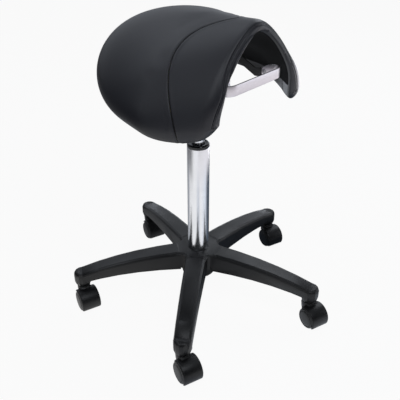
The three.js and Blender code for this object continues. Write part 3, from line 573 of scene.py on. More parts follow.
gas_foot, gas_top = heights("gas_cylinder")
gas_radius, gas_bore, gas_tip, gas_taper = 14, 11.5, 13.2, 42
pin_hole, valve_length = 4.3, 30
gas_outline = [
    (gas_bore, gas_foot),
    (gas_radius - 1.5, gas_foot),
    (gas_radius, gas_foot + 1.5),
    (gas_radius, gas_top - gas_taper),
    (gas_tip, gas_top),
    (pin_hole, gas_top),
    (pin_hole, gas_top - valve_length),
    (gas_bore, gas_top - valve_length),
]
gas = rounded(lathe(gas_outline), 0.4)
hand_over(gas, "gas_cylinder_chromed", chrome, "gas_cylinder")
print("column faces:", [len(piece.data.polygons) for piece in (column, bush, gas)])

# %% [markdown]
# ## The star base
# The base is one nylon moulding. Its shape is already right in the CAD node, so a copy of it is
# merged into a clean mesh and its edges are rounded.

# %% Star base


def clean_copy(node):
    """A merged copy of a CAD node, free of the frame."""
    piece = new_piece(node.name + "_copy", node.data.copy())
    weld(piece, 0.02)
    return piece


base = clean_copy(nodes["star_base"])
modify(base, "DECIMATE", decimate_type="DISSOLVE", angle_limit=math.radians(1))
rounded(base, 2.4, 3, 22, 60)
hand_over(base, "star_base_moulding", nylon, "star_base")
print("star base:", len(base.data.polygons), "faces")

# %% [markdown]
# ## The castors
# A twin-wheel castor is two turned wheels in a hood. One wheel is turned with a stepped hub cap and
# then copied ten times, and one hood is extruded from its side view and hollowed for the wheels.

# %% Castor wheels
axle_height = sum(heights("castor_1_axle")) / 2
wheel_inner, wheel_outer = 6.6, 24.1
axle_hole, cap_thick = 3.3, 4
wheel_outline = [
    (axle_hole, wheel_inner),
    (axle_height - 1, wheel_inner),
    (axle_height, wheel_inner + 1),
    (axle_height, wheel_outer - 5.6),
    (axle_height - 0.7, wheel_outer - 3.6),
    (axle_height - 2.2, wheel_outer - 2),
    (20.4, wheel_outer - 1.3),
    (20, wheel_outer - 2.4),
    (18.4, wheel_outer - 2.4),
    (18, wheel_outer - 1.5),
    (15, wheel_outer - 0.5),
    (9, wheel_outer),
    (0, wheel_outer),
    (0, wheel_outer - cap_thick),
    (axle_hole, wheel_outer - cap_thick),
]
wheel = lathe(wheel_outline, 64, ORIGIN)
rounded(wheel, 0.25, 2, 25, 30)
wheel.data.transform(Matrix.Rotation(-math.pi / 2, 4, "X"))

# %% [markdown]
# The hood is drawn from the side twice: a wide arc round the wheels, and a narrow block that
# carries the stem and comes down between the wheels. Both are filled and pulled to their width, a
# turned neck is added on top, and the wheel wells are cut last.

# %% Castor hood
trail = 19
hood_top, hood_foot, hood_half = 59, 9.5, 23
well_radius, well_wall = 25.8, 3
web_half, well_depth = 5.8, 25
arc_steps, arc_end = 24, math.radians(128)
arc_radius = well_radius + well_wall
arc_from = math.asin((hood_foot - axle_height) / arc_radius)
hood_arc = []
for step in range(arc_steps + 1):
    swing = between(arc_from, arc_end, step / arc_steps)
    hood_arc.append(
        (trail + arc_radius * math.cos(swing), axle_height + arc_radius * math.sin(swing))
    )
stem_block = [(22, 45), (16, 54), (10.6, 57.5), (-10.6, 57.5), (-13, 53), (-10.6, 40), (0, 12)]
stem_block.append((19, 14))
neck_outline = [(0, 40), (15, 40), (15, 57), (14.4, 58.4), (13, hood_top), (0, hood_top)]


def slab(outline, half_width, bevel):
    """A side view in millimetres, filled and pulled to its width on both sides of the middle."""
    piece = chain([(x, -half_width, height) for x, height in outline])
    bpy.ops.mesh.edge_face_add()
    pull((0, 2 * half_width, 0))
    face_outwards(piece)
    return rounded(piece, bevel, 4, 50)


hood = slab(hood_arc + [(3, 20)], hood_half, 3.2)
combine(hood, "UNION", slab(stem_block, 12.5, 1.6))
combine(hood, "UNION", rounded(lathe(neck_outline, 48, ORIGIN), 0.3))
for side in (-1, 1):
    bpy.ops.mesh.primitive_cylinder_add(
        vertices=64,
        radius=well_radius * mm,
        depth=well_depth * mm,
        location=(trail * mm, side * (web_half + well_depth / 2) * mm, axle_height * mm),
        rotation=(math.pi / 2, 0, 0),
    )
    well = bpy.context.object
    place_in_mesh(well)
    combine(hood, "DIFFERENCE", well)
rounded(hood, 0.35, 2, 40)

# %% [markdown]
# The frame says where each stem stands, its joints say how each axle lies, and copies of the hood
# and the wheel are set there.

# %% Set the castors
joint_named = {joint["name"]: joint for joint in frame["joints"]}
for number in range(1, 6):
    axle = Vector(joint_named[f"castor_{number}_left_spin"]["axis"])
    heading = math.atan2(-axle.x, axle.y)
    stem_at = Matrix.Translation(foot_of(f"castor_{number}_stem"))
    seat_at = stem_at @ Matrix.Rotation(heading, 4, "Z")
    hood_copy = new_piece("hood", hood.data.copy())
    hood_copy.data.transform(seat_at)
    hand_over(hood_copy, f"castor_{number}_hood_moulding", nylon, f"castor_{number}_hood")
    axle_at = seat_at @ Matrix.Translation((trail * mm, 0, axle_height * mm))
    for side, swing in (("left", 0), ("right", math.pi)):
        wheel_copy = new_piece("wheel", wheel.data.copy())
        wheel_copy.data.transform(axle_at @ Matrix.Rotation(swing, 4, "Z"))
        wheel_name = f"castor_{number}_wheel_{side}"
        hand_over(wheel_copy, wheel_name + "_turned", nylon, wheel_name)
bpy.data.objects.remove(hood)
bpy.data.objects.remove(wheel)
print("castors: 5 hoods, 10 wheels")

# %% [markdown]
# ## The hand bar
# The bar is a flat strip on edge, bent back into a hook at each end. A chain of points follows the
# bend, is pulled up to the strip's height, and Solidify gives it its thickness.

# %% Hand bar
bar_foot, bar_top = heights("lever_bar")
bar_x, bar_straight, hook_depth, hook_reach, bar_thick = 150.5, 60, 13.5, 21, 3
return_length, hook_steps = 11, 24
bar_half = [(bar_x - 2 * hook_depth, bar_straight - return_length)]
for step in range(hook_steps + 1):
    swing = math.pi * (1 - step / hook_steps)
    x = bar_x - hook_depth * (1 - math.cos(swing))
    bar_half.append((x, bar_straight + hook_reach * math.sin(swing)))
bar_path = bar_half + [(x, -y) for x, y in reversed(bar_half)]
bar = chain([(AXIS.x / mm + x, AXIS.y / mm + y, bar_foot) for x, y in bar_path])
pull((0, 0, bar_top - bar_foot))
nothing_selected()
modify(bar, "SOLIDIFY", thickness=bar_thick * mm, offset=0, use_even_offset=True)
face_outwards(bar)
rounded(bar, 0.6, 3, 45)
hand_over(bar, "lever_bar_brushed", brushed, "lever_bar")
print("hand bar:", len(bar.data.polygons), "faces")

# %% [markdown]
# ## The saddle
# Foam on a moulded shell, in a sewn leather cover. It is drawn in half-sections across the seat: an
# arch from the crest down the flap, a round nose at the rim, and an arch back up underneath. All its
# values are in millimetres from the column's axis, and lie close to those of the frame's saddle.

# %% Half-sections
WIDE_X, FRONT_X, REAR_X = 40, 149, -207
WIDE_REACH, FRONT_REACH = 214, 147
CREST = 690
SIDE_DROP, FRONT_DROP, REAR_DROP = 159, 165, 90
FLAP_THICK, FRONT_FLAP_THICK = 29, 44
CREST_THICK, FRONT_CREST_THICK = 45, 23
NOSE_SHARE = 0.6
FLATS = np.array([(0.28, 0.35), (0.3, 0.23), (0.39, 0.47), (0.63, 0.45)])
SIDE_FLATS, FRONT_FLATS, UNDER_FLATS, REAR_FLATS = FLATS
TIP_LENGTH, TIP_RISE = 40, 15
FAN_POWER = 2 / 2.06
ROUND, UNDER_ROUND = 15, 4
FRONT_PUSH, LEAN_FROM, LEAN_SLOPE = 4.5, 540, 150


def hump(place, centre, width):
    """A smooth hump, 1 at its centre and almost 0 from twice its width on."""
    return np.exp(-(((place - centre) / width) ** 2))


def flap_dip(x):
    """How far the foot of the flap hangs down where the thigh rests on it."""
    return 6 * hump(x, 58, 32)


def front_section(x):
    """The half-section at x, from the widest place to the front."""
    along = (x - WIDE_X) / (FRONT_X - WIDE_X)
    bulge = math.sin(math.pi * along) ** 1.4
    ease = along * along * (3 - 2 * along)
    thickness = between(FLAP_THICK, FRONT_FLAP_THICK, ease)
    narrowing = along * along / (along * along + 0.16) ** 0.215
    tip = max(0, 1 - (FRONT_X - x) / TIP_LENGTH)
    return {
        "origin": x,
        "heading": (0, 1),
        "along": along,
        "reach": between(WIDE_REACH, FRONT_REACH, narrowing),
        "crest": CREST - 2 * bulge + 3 * ease,
        "rim": CREST - between(SIDE_DROP, FRONT_DROP, ease) - 8 * bulge - flap_dip(x),
        "thickness": thickness,
        "nose": NOSE_SHARE * thickness - TIP_RISE * (1 - math.sqrt(1 - tip * tip)),
        "crest_thickness": between(CREST_THICK, FRONT_CREST_THICK, ease),
        "flats": between(SIDE_FLATS, FRONT_FLATS, ease),
        "under_flats": between(SIDE_FLATS, UNDER_FLATS, ease),
    }


def rear_section(turn):
    """The half-section in a fan from the widest place, at 0, to the rear's middle, at 90 degrees."""
    x = (REAR_X - WIDE_X) * math.sin(turn) ** FAN_POWER
    y = WIDE_REACH * max(0, math.cos(turn)) ** FAN_POWER
    reach = math.hypot(x, y)
    rear = math.sin(turn) ** 2
    flats = between(SIDE_FLATS, REAR_FLATS, rear)
    return {
        "origin": WIDE_X,
        "heading": (x / reach, y / reach),
        "along": 0,
        "reach": reach,
        "crest": CREST,
        "rim": CREST - between(SIDE_DROP, REAR_DROP, rear) - flap_dip(WIDE_X + x),
        "thickness": FLAP_THICK,
        "nose": NOSE_SHARE * FLAP_THICK,
        "crest_thickness": CREST_THICK,
        "flats": flats,
        "under_flats": flats,
    }


# %% [markdown]
# A section is read by one number, `ring`: 0 to 1 runs down the outer arch, 1 to 2 round the nose,
# and 2 to 3 back up the inner arch. An inset moves the outer surface in, as foam lies inside leather.

# %% Points of a half-section


def arch_point(reach, crest, rim, flats, offset, share):
    """A point of a Bezier arch, moved outwards by the offset."""
    rest = 1 - share
    knee = (reach, between(rim, crest, flats[1]))
    corners = np.array([(0, crest), (flats[0] * reach, crest), knee, (reach, rim)])
    point = np.array((rest**3, 3 * rest**2 * share, 3 * rest * share**2, share**3)) @ corners
    steps = corners[1:] - corners[:-1]
    ahead = np.array((rest**2, 2 * rest * share, share**2)) @ steps
    ahead = ahead / np.linalg.norm(ahead)
    return point + offset * np.array((-ahead[1], ahead[0]))


def under_point(section, offset, share):
    reach = section["reach"] - section["thickness"]
    ceiling = section["crest"] - section["crest_thickness"]
    return arch_point(reach, ceiling, section["rim"], section["under_flats"], offset, share)


def ring_point(section, ring, inset, under_inset):
    reach, rim = section["reach"], section["rim"]
    if ring <= 1:
        return arch_point(reach, section["crest"], rim, section["flats"], -inset, ring)
    if ring >= 2:
        return under_point(section, under_inset, 3 - ring)
    half = (section["thickness"] - inset - under_inset) / 2
    turn = math.pi * (ring - 1)
    drop = (section["nose"] - inset) * math.sin(turn)
    return np.array((reach - inset - half + half * math.cos(turn), rim - drop))


def in_place(section, point):
    """The point in three dimensions; the front leans and swells forward as it goes down."""
    out, height = point
    ahead = section["along"] * (FRONT_PUSH - (height - LEAN_FROM) / LEAN_SLOPE)
    ahead += 5 * section["along"] ** 2 * hump(height, 572, 34)
    heading = section["heading"]
    return np.array((section["origin"] + out * heading[0] + ahead, out * heading[1], height))


# %% [markdown]
# ## Rows that follow the seams
# Rows of points run across the saddle from the front rim to the rear. A groove only looks sewn if
# mesh edges follow it, so one row lies exactly on each seam and the rows crowd together beside it.

# %% How the rows crowd towards the seams
ROUND_X = FRONT_X - ROUND
band_inner = [1, 0.85, 0.7, 0.56, 0.42, 0.28, 0.16, 0.08, 0.03]
band_outer = [1, 0.95, 0.87, 0.74, 0.56, 0.36, 0.16]
front_gaps = [36, 32, 27, 21, 15.5, 11, 7.4, 4.8, 3.1, 1.9, 1.1, 0.5]
rear_gaps = [0.5, 1.1, 1.9, 3, 4.6, 6.8, 9, 11, 13, 15.5, 19, 24, 31, 39, 47, 55.5, 64]
fan_steps = 28
RIM_ROW = len(band_inner)
SEAM_ROW = RIM_ROW + len(band_outer) + len(front_gaps)
WRAP_ROW = SEAM_ROW - len(front_gaps) + 1
WRAP_SHARE = 0.93
WRAP_REACH = 12
arch_steps = 46
arch_shares = [WRAP_SHARE * step / arch_steps for step in range(arch_steps + 1)] + [0.95, 0.975, 1]
nose_steps = 12
ring_places = arch_shares + [1 + step / nose_steps for step in range(1, nose_steps)]
ring_places += [3 - share for share in reversed(arch_shares)]

# %% [markdown]
# The panel seam is no plain cut across the seat. Over the crest it stands near the front, on the
# shoulders it swings back, and down the flaps it comes forward again. The rim seam stays on the
# rounded front edge and moves on to the front face along the flaps. Two short tables hold both.

# %% Two seams as smooth curves
panel_seam_table = [
    (0, 103), (0.03, 101), (0.062, 96.5), (0.108, 85.5), (0.154, 75), (0.2, 65.5), (0.246, 57),
    (0.3, 50.5), (0.362, 46.8), (0.429, 47), (0.479, 50), (0.538, 56.5), (0.596, 65.5), (0.654, 75),
    (0.717, 84.5), (0.788, 94), (0.858, 102), (0.938, 108), (1.034, 111), (1.5, 108), (2, 100),
    (3, 100),
]
rim_seam_table = [
    (0, 0.76), (0.08, 0.62), (0.16, 0.5), (0.35, 0.45), (0.45, 0.5), (0.55, 0.68), (0.65, 0.95),
    (0.75, 1.15), (0.85, 1.3), (1, 1.35), (1.5, 1.3), (2, 1), (3, 1),
]


def smooth_curve(table):
    """The table's values at every ring place, rounded off and level over the crest."""
    fine = np.linspace(-0.5, 3.5, 1601)
    values = np.interp(np.abs(fine), *zip(*table))
    weights = np.exp(-(np.linspace(-2, 2, 41) ** 2))
    return np.interp(ring_places, fine, np.convolve(values, weights / weights.sum(), mode="same"))


panel_station = smooth_curve(panel_seam_table)
rim_place = smooth_curve(rim_seam_table)
print("panel seam from x", round(panel_station.min()), "to", round(panel_station.max()), "mm")

# %% The rows, from the middle of the front band to the rear
FACE_BULGE = 0.16


def front_edge(ring, turn, inset, under_inset):
    """A point on the rounded front edge: turn 0 is at the side, 90 degrees on the front face."""
    outer = ROUND - (ROUND - inset) * math.cos(turn)
    inner = UNDER_ROUND - (UNDER_ROUND - under_inset) * math.cos(turn)
    section = front_section(ROUND_X + (ROUND - inset) * math.sin(turn))
    return in_place(section, ring_point(section, ring, outer, inner))


def front_row(places, inset, under_inset):
    """A row on the front: for each ring a place, 0 to 1 round the edge and to 2 across the face."""
    face = np.array([front_edge(ring, math.pi / 2, inset, under_inset) for ring in ring_places])
    middle = (face + face[::-1]) / 2
    last = len(arch_shares) - 1
    middle[last : last + nose_steps + 1] = middle[last]
    row = []
    for index, (ring, place) in enumerate(zip(ring_places, places)):
        if place <= 1:
            row.append(front_edge(ring, place * math.pi / 2, inset, under_inset))
        else:
            point = between(face[index], middle[index], place - 1)
            breadth = np.linalg.norm(middle[index] - face[index])
            point[0] += FACE_BULGE * breadth * (1 - (2 - place) ** 2)
            row.append(point)
    return np.array(row)


def side_row(gap, ahead, inset, under_inset):
    """A row at a distance in front of or behind the panel seam."""
    row = []
    for ring, seam in zip(ring_places, panel_station):
        if ahead:
            share = gap / front_gaps[0]
            x = seam + gap + share * share * (ROUND_X - seam - front_gaps[0])
        else:
            x = seam - gap / rear_gaps[-1] * (seam - WIDE_X)
        section = front_section(x)
        under = min(inset, under_inset) if x > FRONT_X - WRAP_REACH else under_inset
        row.append(in_place(section, ring_point(section, ring, inset, under)))
    return np.array(row)


def pad_rows(inset, under_inset):
    wrapped = min(inset, under_inset)
    rows = [front_row(rim_place + (2 - rim_place) * share, inset, wrapped) for share in band_inner]
    rows += [front_row(rim_place * share, inset, wrapped) for share in band_outer]
    rows += [side_row(gap, True, inset, under_inset) for gap in front_gaps]
    rows += [side_row(gap, False, inset, under_inset) for gap in [0] + rear_gaps]
    for step in range(1, fan_steps + 1):
        section = rear_section(math.pi / 2 * step / fan_steps)
        outline = [ring_point(section, ring, inset, under_inset) for ring in ring_places]
        rows.append(np.array([in_place(section, point) for point in outline]))
    return rows


# %% [markdown]
# The rows become a mesh of quads for one half, and Mirror makes the other. Each point keeps its row
# and ring as attributes, so later steps can find a seam or a panel without measuring anything.

# %% From rows to a closed pad


def give_values(mesh, name, values):
    mesh.attributes.new(name, "FLOAT", "POINT").data.foreach_set("value", values)


def skin(name, rows, rings):
    """A mesh of quads over rows of points, mirrored to both halves and welded."""
    count = len(rings)
    faces = []
    for row in range(len(rows) - 1):
        for ring in range(count - 1):
            corner = row * count + ring
            faces.append((corner, corner + count, corner + count + 1, corner + 1))
    mesh = bpy.data.meshes.new(name)
    mesh.from_pydata([tuple(point * mm) for row in rows for point in row], [], faces)
    give_values(mesh, "row", np.repeat(np.arange(len(rows), dtype=float), count))
    give_values(mesh, "ring", np.tile(np.array(rings, dtype=float), len(rows)))
    piece = new_piece(name, mesh)
    halves = {"use_axis": (False, True, False), "merge_threshold": 0.02 * mm}
    modify(piece, "MIRROR", use_mirror_merge=True, **halves)
    weld(piece, 0.02)
    face_outwards(piece)
    return piece


def values_of(piece, name):
    """A point attribute as an array."""
    values = np.zeros(len(piece.data.vertices))
    piece.data.attributes[name].data.foreach_get("value", values)
    return values


def vectors_of(places, name):
    vectors = np.zeros(len(places) * 3)
    places.foreach_get(name, vectors)
    return vectors.reshape(-1, 3)


def points_of(piece):
    return vectors_of(piece.data.vertices, "co")


def normals_of(piece):
    return vectors_of(piece.data.vertex_normals, "vector")


def move_points(piece, points):
    piece.data.vertices.foreach_set("co", points.ravel())
    piece.data.update()


def tree_of(places):
    """A search tree that finds the nearest of these places."""
    tree = KDTree(len(places))
    for index, place in enumerate(places):
        tree.insert(place, index)
    tree.balance()
    return tree


def nearest(points, places):
    """For each point, the number of the nearest place and how far away it is."""
    tree = tree_of(places)
    _, numbers, distances = zip(*(tree.find(point) for point in points))
    return np.array(numbers), np.array(distances)


def set_down(piece):
    """Moves a piece from the origin to the column's axis, and shades it smooth."""
    piece.data.transform(Matrix.Translation(AXIS))
    take(piece)
    bpy.ops.object.shade_smooth()


cover = skin("cover", pad_rows(1.0, 0.4), ring_places)
cover_row, cover_ring = values_of(cover, "row"), values_of(cover, "ring")
print("pad:", len(cover.data.vertices), "points,", len(cover.data.polygons), "faces")

# %% [markdown]
# ## Swelling the pad
# Leather over foam is tight and swells between its seams. A copy of the pad is remeshed into even
# small faces and blown up a little as cloth under pressure, held still at the seams and underneath.
# How far each place rose is then averaged over a finger's width, because foam has no fine
# wrinkles, and carried over to the rows, whose seams stay sharp.

# %% Blow up a copy
SWELL_LIMIT = 2.2
CLOTH_FRAMES = 20
FINGER = 11
NEAREST = 28


def swelling():
    """Places on the pad's skin and how far each one moves."""
    balloon = new_piece("balloon", cover.data.copy())
    modify(balloon, "REMESH", mode="VOXEL", voxel_size=5.5 * mm)
    rest = points_of(balloon)
    skin_points = points_of(cover)
    on_seam = (np.abs(cover_row - SEAM_ROW) < 0.1) & (cover_ring < 2.1)
    on_rim = (np.abs(cover_row - RIM_ROW) < 0.1) & (cover_ring < 1.6)
    underneath = (cover_ring > 2.03) & (cover_row >= RIM_ROW + 2)
    held = nearest(rest, skin_points[on_seam | on_rim])[1] < 5 * mm
    held |= nearest(rest, skin_points[underneath])[1] < 6 * mm
    normals = normals_of(balloon)
    group = balloon.vertex_groups.new(name="held")
    group.add([int(index) for index in np.nonzero(held)[0]], 1.0, "REPLACE")
    cloth = balloon.modifiers.new("cloth", "CLOTH")
    cloth.settings.vertex_group_mass = "held"
    cloth.settings.use_pressure = True
    cloth.settings.uniform_pressure_force = 4
    cloth.settings.tension_stiffness = 12
    cloth.settings.compression_stiffness = 12
    cloth.settings.bending_stiffness = 1.5
    cloth.settings.effector_weights.gravity = 0
    scene = bpy.context.scene
    for frame_number in range(1, CLOTH_FRAMES + 1):
        scene.frame_set(frame_number)
    blown = points_of(balloon.evaluated_get(bpy.context.evaluated_depsgraph_get()))
    scene.frame_set(1)
    rise = ((blown - rest) * normals).sum(axis=1)
    print("cloth rose up to", round(rise.max() / mm, 1), "mm, middle", round(np.median(rise) / mm, 2))
    rise = np.clip(rise, 0, SWELL_LIMIT * mm)
    bpy.data.objects.remove(balloon)
    return rest, normals * rise[:, None]


swell_places, swell_moves = swelling()
swell_tree = tree_of(swell_places)


def swollen(points):
    """The points moved as the skin near them moved."""
    moved = points.copy()
    for index, point in enumerate(points):
        _, numbers, distances = zip(*swell_tree.find_n(point, NEAREST))
        weights = hump(np.array(distances), 0, FINGER * mm) + 1e-6
        moved[index] += weights @ swell_moves[list(numbers)] / weights.sum()
    return moved


move_points(cover, swollen(points_of(cover)))
print("pad swelled from", len(swell_places), "skin points")

# %% [markdown]
# ## Sewing the seams
# With the pad blown up, one subdivision gives smooth leather. Each seam is then pressed in as a
# narrow valley with soft shoulders. The thread pulls unevenly, so tiny puckers cross it every 6 or
# 7 mm.

# %% Press the seams in
modify(cover, "SUBSURF", levels=1, render_levels=1)
cover_row, cover_ring = values_of(cover, "row"), values_of(cover, "ring")
SEAM_STEP = 0.5


def seam_line(on_line, last_ring):
    """Places along a seam, one at each step, from one flap over the crest to the other."""
    points = points_of(cover)
    chosen = np.nonzero(on_line & (cover_ring < last_ring))[0]
    order = chosen[np.argsort(cover_ring[chosen] * np.sign(points[chosen, 1]))]
    line = points[order]
    lengths = np.concatenate([[0], np.cumsum(np.linalg.norm(np.diff(line, axis=0), axis=1))])
    steps = np.arange(0, lengths[-1], SEAM_STEP * mm)
    return np.stack([np.interp(steps, lengths, line[:, axis]) for axis in range(3)], axis=1)


panel_seam = seam_line(np.abs(cover_row - SEAM_ROW) < 0.01, 2.12)
rim_seam = seam_line(np.abs(cover_row - RIM_ROW) < 0.01, 1.5)


points, normals = points_of(cover), normals_of(cover)
(seam_run, seam_off), (rim_run, rim_off) = [nearest(points, line) for line in (panel_seam, rim_seam)]
seam_off, rim_off = seam_off / mm, rim_off / mm
outside = cover_ring < 2.2
panel_pucker, rim_pucker = 2 * math.pi / 7, 2 * math.pi / 6
height = -1.3 * hump(seam_off, 0, 1.1) + 0.3 * hump(seam_off, 4, 2.6)
height += 0.14 * np.sin(seam_run * SEAM_STEP * panel_pucker) * hump(seam_off, 2.5, 3)
height += -1.9 * hump(rim_off, 0, 1.3) + 0.7 * hump(rim_off, 4.2, 2.6)
height += 0.1 * np.sin(rim_run * SEAM_STEP * rim_pucker) * hump(rim_off, 2, 2.2)

# %% [markdown]
# Behind the panel seam the cover has a soft crease on each flap, where the leather turns from the
# dished side to the front. It fades out above and below.

# %% The crease and the sewn shading
behind = cover_row > SEAM_ROW
level = points[:, 2] / mm
crease_top, crease_foot = 600, 500
fade = np.clip((crease_top - level) / 60, 0, 1) * np.clip((level - crease_foot) / 30, 0, 1)
crease = -0.6 * hump(seam_off, 12, 2.8) + 0.25 * hump(seam_off, 7, 2.6)
height += np.where(behind, crease, 0) * fade
move_points(cover, points + normals * (height * outside * mm)[:, None])
# How near each point is to a seam; the leather uses it to paint shade into the seam grooves.
seam_shade_mask = np.maximum(hump(seam_off, 0, 1.6), hump(rim_off, 0, 1.4))
give_values(cover.data, "near_seam", seam_shade_mask.astype(float))
print("seams:", [round(len(line) * SEAM_STEP) for line in (panel_seam, rim_seam)], "mm long")

# %% [markdown]
# ## Two panels
# The cover is cut along the panel seam and opened under the seat, where the shell shuts it. The two
# edges part by a hair, and Solidify gives the leather its thickness, inwards from the outer skin.

# %% Cut the panels and give them thickness
COVER_THICKNESS = 1.8
PANEL_GAP = 0.3


def panel(name, front):
    """The leather in front of the panel seam, or behind it."""
    piece = new_piece(name, cover.data.copy())
    row, ring = values_of(piece, "row"), values_of(piece, "ring")
    places = points_of(piece)
    on_edge = np.abs(row - SEAM_ROW) < 0.01
    places[on_edge, 0] += (1 if front else -1) * PANEL_GAP / 2 * mm
    move_points(piece, places)
    edit(piece, "FACE")
    shape = bmesh.from_edit_mesh(piece.data)
    for face in shape.faces:
        corners = [corner.index for corner in face.verts]
        middle_row, middle_ring = row[corners].mean(), ring[corners].mean()
        other_panel = (middle_row < SEAM_ROW) != front
        under_seat = middle_ring > 3 - WRAP_SHARE and middle_row > WRAP_ROW
        face.select_set(bool(other_panel or under_seat))
    bmesh.update_edit_mesh(piece.data)
    bpy.ops.mesh.delete(type="FACE")
    nothing_selected()
    modify(piece, "SOLIDIFY", thickness=COVER_THICKNESS * mm, offset=-1, use_even_offset=False)
    set_down(piece)
    return piece


rear_panel = panel("rear panel", False)
front_panel = panel("front panel", True)
print("panels:", len(rear_panel.data.polygons), "and", len(front_panel.data.polygons), "faces")

# %% [markdown]
# A thin welt, a strip of leather folded over a filler, is sewn into the rim seam and shows as a fine
# line round the arch. A ring of eight points is set round each place on the seam, and joined up.

# %% The welt
WELT_RADIUS, WELT_SINK = 1.2, 0.5
WELT_SIDES, WELT_EVERY = 8, 6


def welt_along(line, normals_at):
    """A closed tube of eight sides that follows a line."""
    rings = []
    for index, place in enumerate(line):
        ahead = line[min(index + 1, len(line) - 1)] - line[max(index - 1, 0)]
        ahead = ahead / np.linalg.norm(ahead)
        out = normals_at[index] - ahead * (normals_at[index] @ ahead)
        out = out / np.linalg.norm(out)
        across = np.cross(ahead, out)
        ring = []
        for side in range(WELT_SIDES):
            turn = 2 * math.pi * side / WELT_SIDES
            ring.append(place + (out * math.cos(turn) + across * math.sin(turn)) * WELT_RADIUS * mm)
        rings.append(ring)
    corners = np.arange(len(rings) * WELT_SIDES).reshape(-1, WELT_SIDES)
    beside = np.roll(corners, -1, axis=1)
    walls = np.stack([corners[:-1], beside[:-1], beside[1:], corners[1:]], axis=-1).reshape(-1, 4)
    faces = walls.tolist() + [corners[0].tolist(), corners[-1].tolist()]
    mesh = bpy.data.meshes.new("welt")
    mesh.from_pydata([tuple(point) for ring in rings for point in ring], [], faces)
    piece = new_piece("welt", mesh)
    face_outwards(piece)
    return piece


welt_line = rim_seam[::WELT_EVERY]
welt_normals = normals[nearest(welt_line, points)[0]]
welt = welt_along(welt_line - welt_normals * WELT_SINK * mm, welt_normals)
set_down(welt)
front_panel.select_set(True)
bpy.context.view_layer.objects.active = front_panel
bpy.ops.object.join()
hand_over(rear_panel, "saddle_rear_panel_leather", leather, "saddle_cover_rear")
hand_over(front_panel, "saddle_front_panel_leather", leather, "saddle_cover_front")
bpy.data.objects.remove(cover)

# %% [markdown]
# ## Foam, shell and lining
# The foam is the same pad drawn further in, and swells with its cover. The shell and the felt lining
# are sheets over the inner arch, thickened with Solidify. The shell stands on four screw bosses.

# %% Foam
foam_pad = skin("foam", pad_rows(4.4, 10.2), ring_places)
move_points(foam_pad, swollen(points_of(foam_pad)))
set_down(foam_pad)
hand_over(foam_pad, "saddle_foam_moulded", foam, "foam_pad")

# %% Shell and lining
sheet_steps, front_steps = 24, 12
sheet_shares = [WRAP_SHARE * step / sheet_steps for step in range(sheet_steps + 1)]
SHELL_FRONT = FRONT_X - 13


def room_sheet(name, offset, thickness):
    """A sheet over the inner arch, from one flap to the other, with its thickness upwards."""
    xs = [between(SHELL_FRONT, WIDE_X, step / front_steps) for step in range(front_steps + 1)]
    turns = [math.pi / 2 * step / sheet_steps for step in range(1, sheet_steps + 1)]
    rows = []
    for section in [front_section(x) for x in xs] + [rear_section(turn) for turn in turns]:
        arch = [under_point(section, offset, share) for share in sheet_shares]
        rows.append(np.array([in_place(section, point) for point in arch]))
    piece = skin(name, rows, sheet_shares)
    highest = max(piece.data.polygons, key=lambda face: face.center.z)
    upwards = 1 if highest.normal.z > 0 else -1
    modify(piece, "SOLIDIFY", thickness=thickness * mm, offset=upwards, use_even_offset=False)
    set_down(piece)
    return piece


shell = room_sheet("shell", 1.7, 8)
lining = room_sheet("lining", 0, 1.4)
boss_foot, boss_top, boss_radius, bolt_hole = 633.3, 647, 9, 3.3
boss_outline = [
    (bolt_hole, boss_foot), (boss_radius - 0.6, boss_foot), (boss_radius, 634),
    (boss_radius, boss_top), (bolt_hole, boss_top),
]
for number in range(1, 5):
    spot = foot_of(f"seat_bolt_{number}")
    combine(shell, "UNION", lathe(boss_outline, 32, spot))
    combine(lining, "DIFFERENCE", lathe([(0, 620), (10, 620), (10, 660), (0, 660)], 32, spot))
smooth(shell, 40)
smooth(lining, 40)
hand_over(shell, "seat_shell_moulded", plastic, "seat_shell")
hand_over(lining, "seat_lining_felt", felt, "seat_lining")
print("shell and lining:", len(shell.data.polygons), "and", len(lining.data.polygons), "faces")

# %% [markdown]
# ## The studio
# A white sweep: the camera sees pure white with a faint shadow, as in a catalogue. Mirrors see the
# sweep too, as a bright floor with a few darker patches, which draws the tube's long stripes.
# What lights the stool is set apart from both, so white never washes the black leather out.

# %% Floor
bpy.ops.mesh.primitive_plane_add(size=30)
floor = bpy.context.object
floor.name = "floor"
place_in_mesh(floor)
sweep = Finish("white sweep", Base_Color=(0.8, 0.8, 0.8, 1), Roughness=0.9)
seen = sweep.node("LightPath")
keep_shadow = 0.06
spot = sweep.node("SeparateXYZ", Vector=sweep.place)
across, along = spot["X"] - AXIS.x, spot["Y"] - AXIS.y
bearing = across.math("ARCTAN2", along, across) * (0.5 / math.pi) + 0.5
radius = (across * across + along * along) ** 0.5
stripe_stops = [
    (0.0, (0.30, 0.32, 0.34)),
    (0.045, (0.34, 0.36, 0.40)),
    (0.12, (0.95, 0.95, 0.95)),
    (0.3, (1.0, 1.0, 1.0)),
    (0.37, (0.62, 0.66, 0.74)),
    (0.42, (1.0, 1.0, 1.0)),
    (0.58, (0.80, 0.86, 0.95)),
    (0.64, (0.07, 0.09, 0.12)),
    (0.80, (0.08, 0.10, 0.13)),
    (0.90, (0.45, 0.46, 0.48)),
]
stripes = sweep.ramp(bearing, stripe_stops)
far_stops = [
    (0.0, (0.30, 0.31, 0.33)),
    (0.02, (0.20, 0.20, 0.21)),
    (0.16, (0.20, 0.20, 0.21)),
    (0.24, (0.95, 0.95, 0.95)),
    (0.53, (0.98, 0.95, 0.98)),
    (0.72, (0.98, 0.95, 0.98)),
    (0.86, (0.80, 0.86, 0.95)),
    (0.94, (0.30, 0.30, 0.32)),
    (1.0, (0.30, 0.31, 0.33)),
]
far_floor = sweep.ramp(bearing, far_stops)
beyond = sweep.level(radius, 0.90, 0.98)
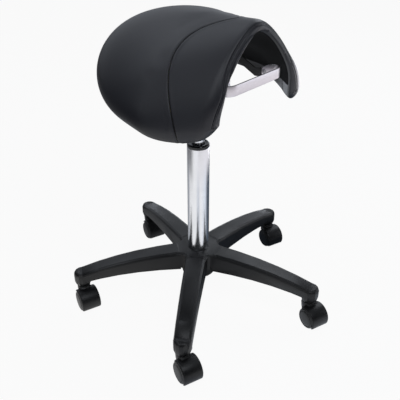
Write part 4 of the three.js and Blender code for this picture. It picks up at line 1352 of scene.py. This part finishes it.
mirror_floor = sweep.mix(beyond, stripes, far_floor)
behind_right = sweep.level(bearing, 0.68, 0.76) * sweep.level(bearing, 0.94, 0.86)
boost = behind_right * sweep.level(radius, 1.0, 1.3) * 4.0 + 1
mirror_white = sweep.level(radius, 4.5, 2.6) * sweep.level(radius, 0.06, 0.2) * boost
glow_white = sweep.node("Emission", Color=(1, 1, 1, 1), Strength=1.0)["Emission"]
glow_stripes = sweep.node("Emission", Color=mirror_floor, Strength=mirror_white)["Emission"]
plain = Signal(sweep.tree, sweep.shader.outputs[0])
mirrored = sweep.node("MixShader", _0=seen["Is Glossy Ray"], _1=plain, _2=glow_stripes)["Shader"]
by_camera = seen["Is Camera Ray"] * (1 - keep_shadow)
shown = sweep.node("MixShader", _0=by_camera, _1=mirrored, _2=glow_white)["Shader"]
feed(sweep.tree, sweep.tree.nodes["Material Output"].inputs["Surface"], shown)
floor.data.materials.append(sweep.material)

# %% [markdown]
# The world follows the same rule: white for the camera, and for reflections a soft bright wall
# behind the stool and a softbox over its rear, so the crest gets its sheen. All else is weak grey.

# %% World
world = bpy.data.worlds.new("studio")
bpy.context.scene.world = world
world.use_nodes = True
sky = Nodes(world.node_tree)
path = sky.node("LightPath")
towards = sky.node("TexCoord")["Generated"]


def glow(direction, start, end, low, high):
    """A soft patch of the sky that brightens towards a direction."""
    facing = sky.node("VectorMath", {"operation": "DOT_PRODUCT"}, _0=towards, _1=direction)["Value"]
    return sky.node("MapRange", _0=facing, _1=start, _2=end, _3=low, _4=high)["Result"]


wall = glow((-0.6, 0.66, 0.45), 0.35, 0.95, 0.04, 0.68)
wall = wall + glow((-0.52, 0.02, 0.85), 0.92, 0.99, 0.0, 1.5)
soft = sky.node("Background", Color=(0.9, 0.95, 1.0, 1), Strength=0.1)["Background"]
bright = sky.node("Background", Color=(0.87, 0.92, 1.0, 1), Strength=wall)["Background"]
white = sky.node("Background", Color=(1, 1, 1, 1), Strength=1.0)["Background"]
reflected = sky.node("MixShader", _0=path["Is Glossy Ray"], _1=soft, _2=bright)["Shader"]
seen_world = sky.node("MixShader", _0=path["Is Camera Ray"], _1=reflected, _2=white)["Shader"]
feed(sky.tree, sky.tree.nodes["World Output"].inputs["Surface"], seen_world)
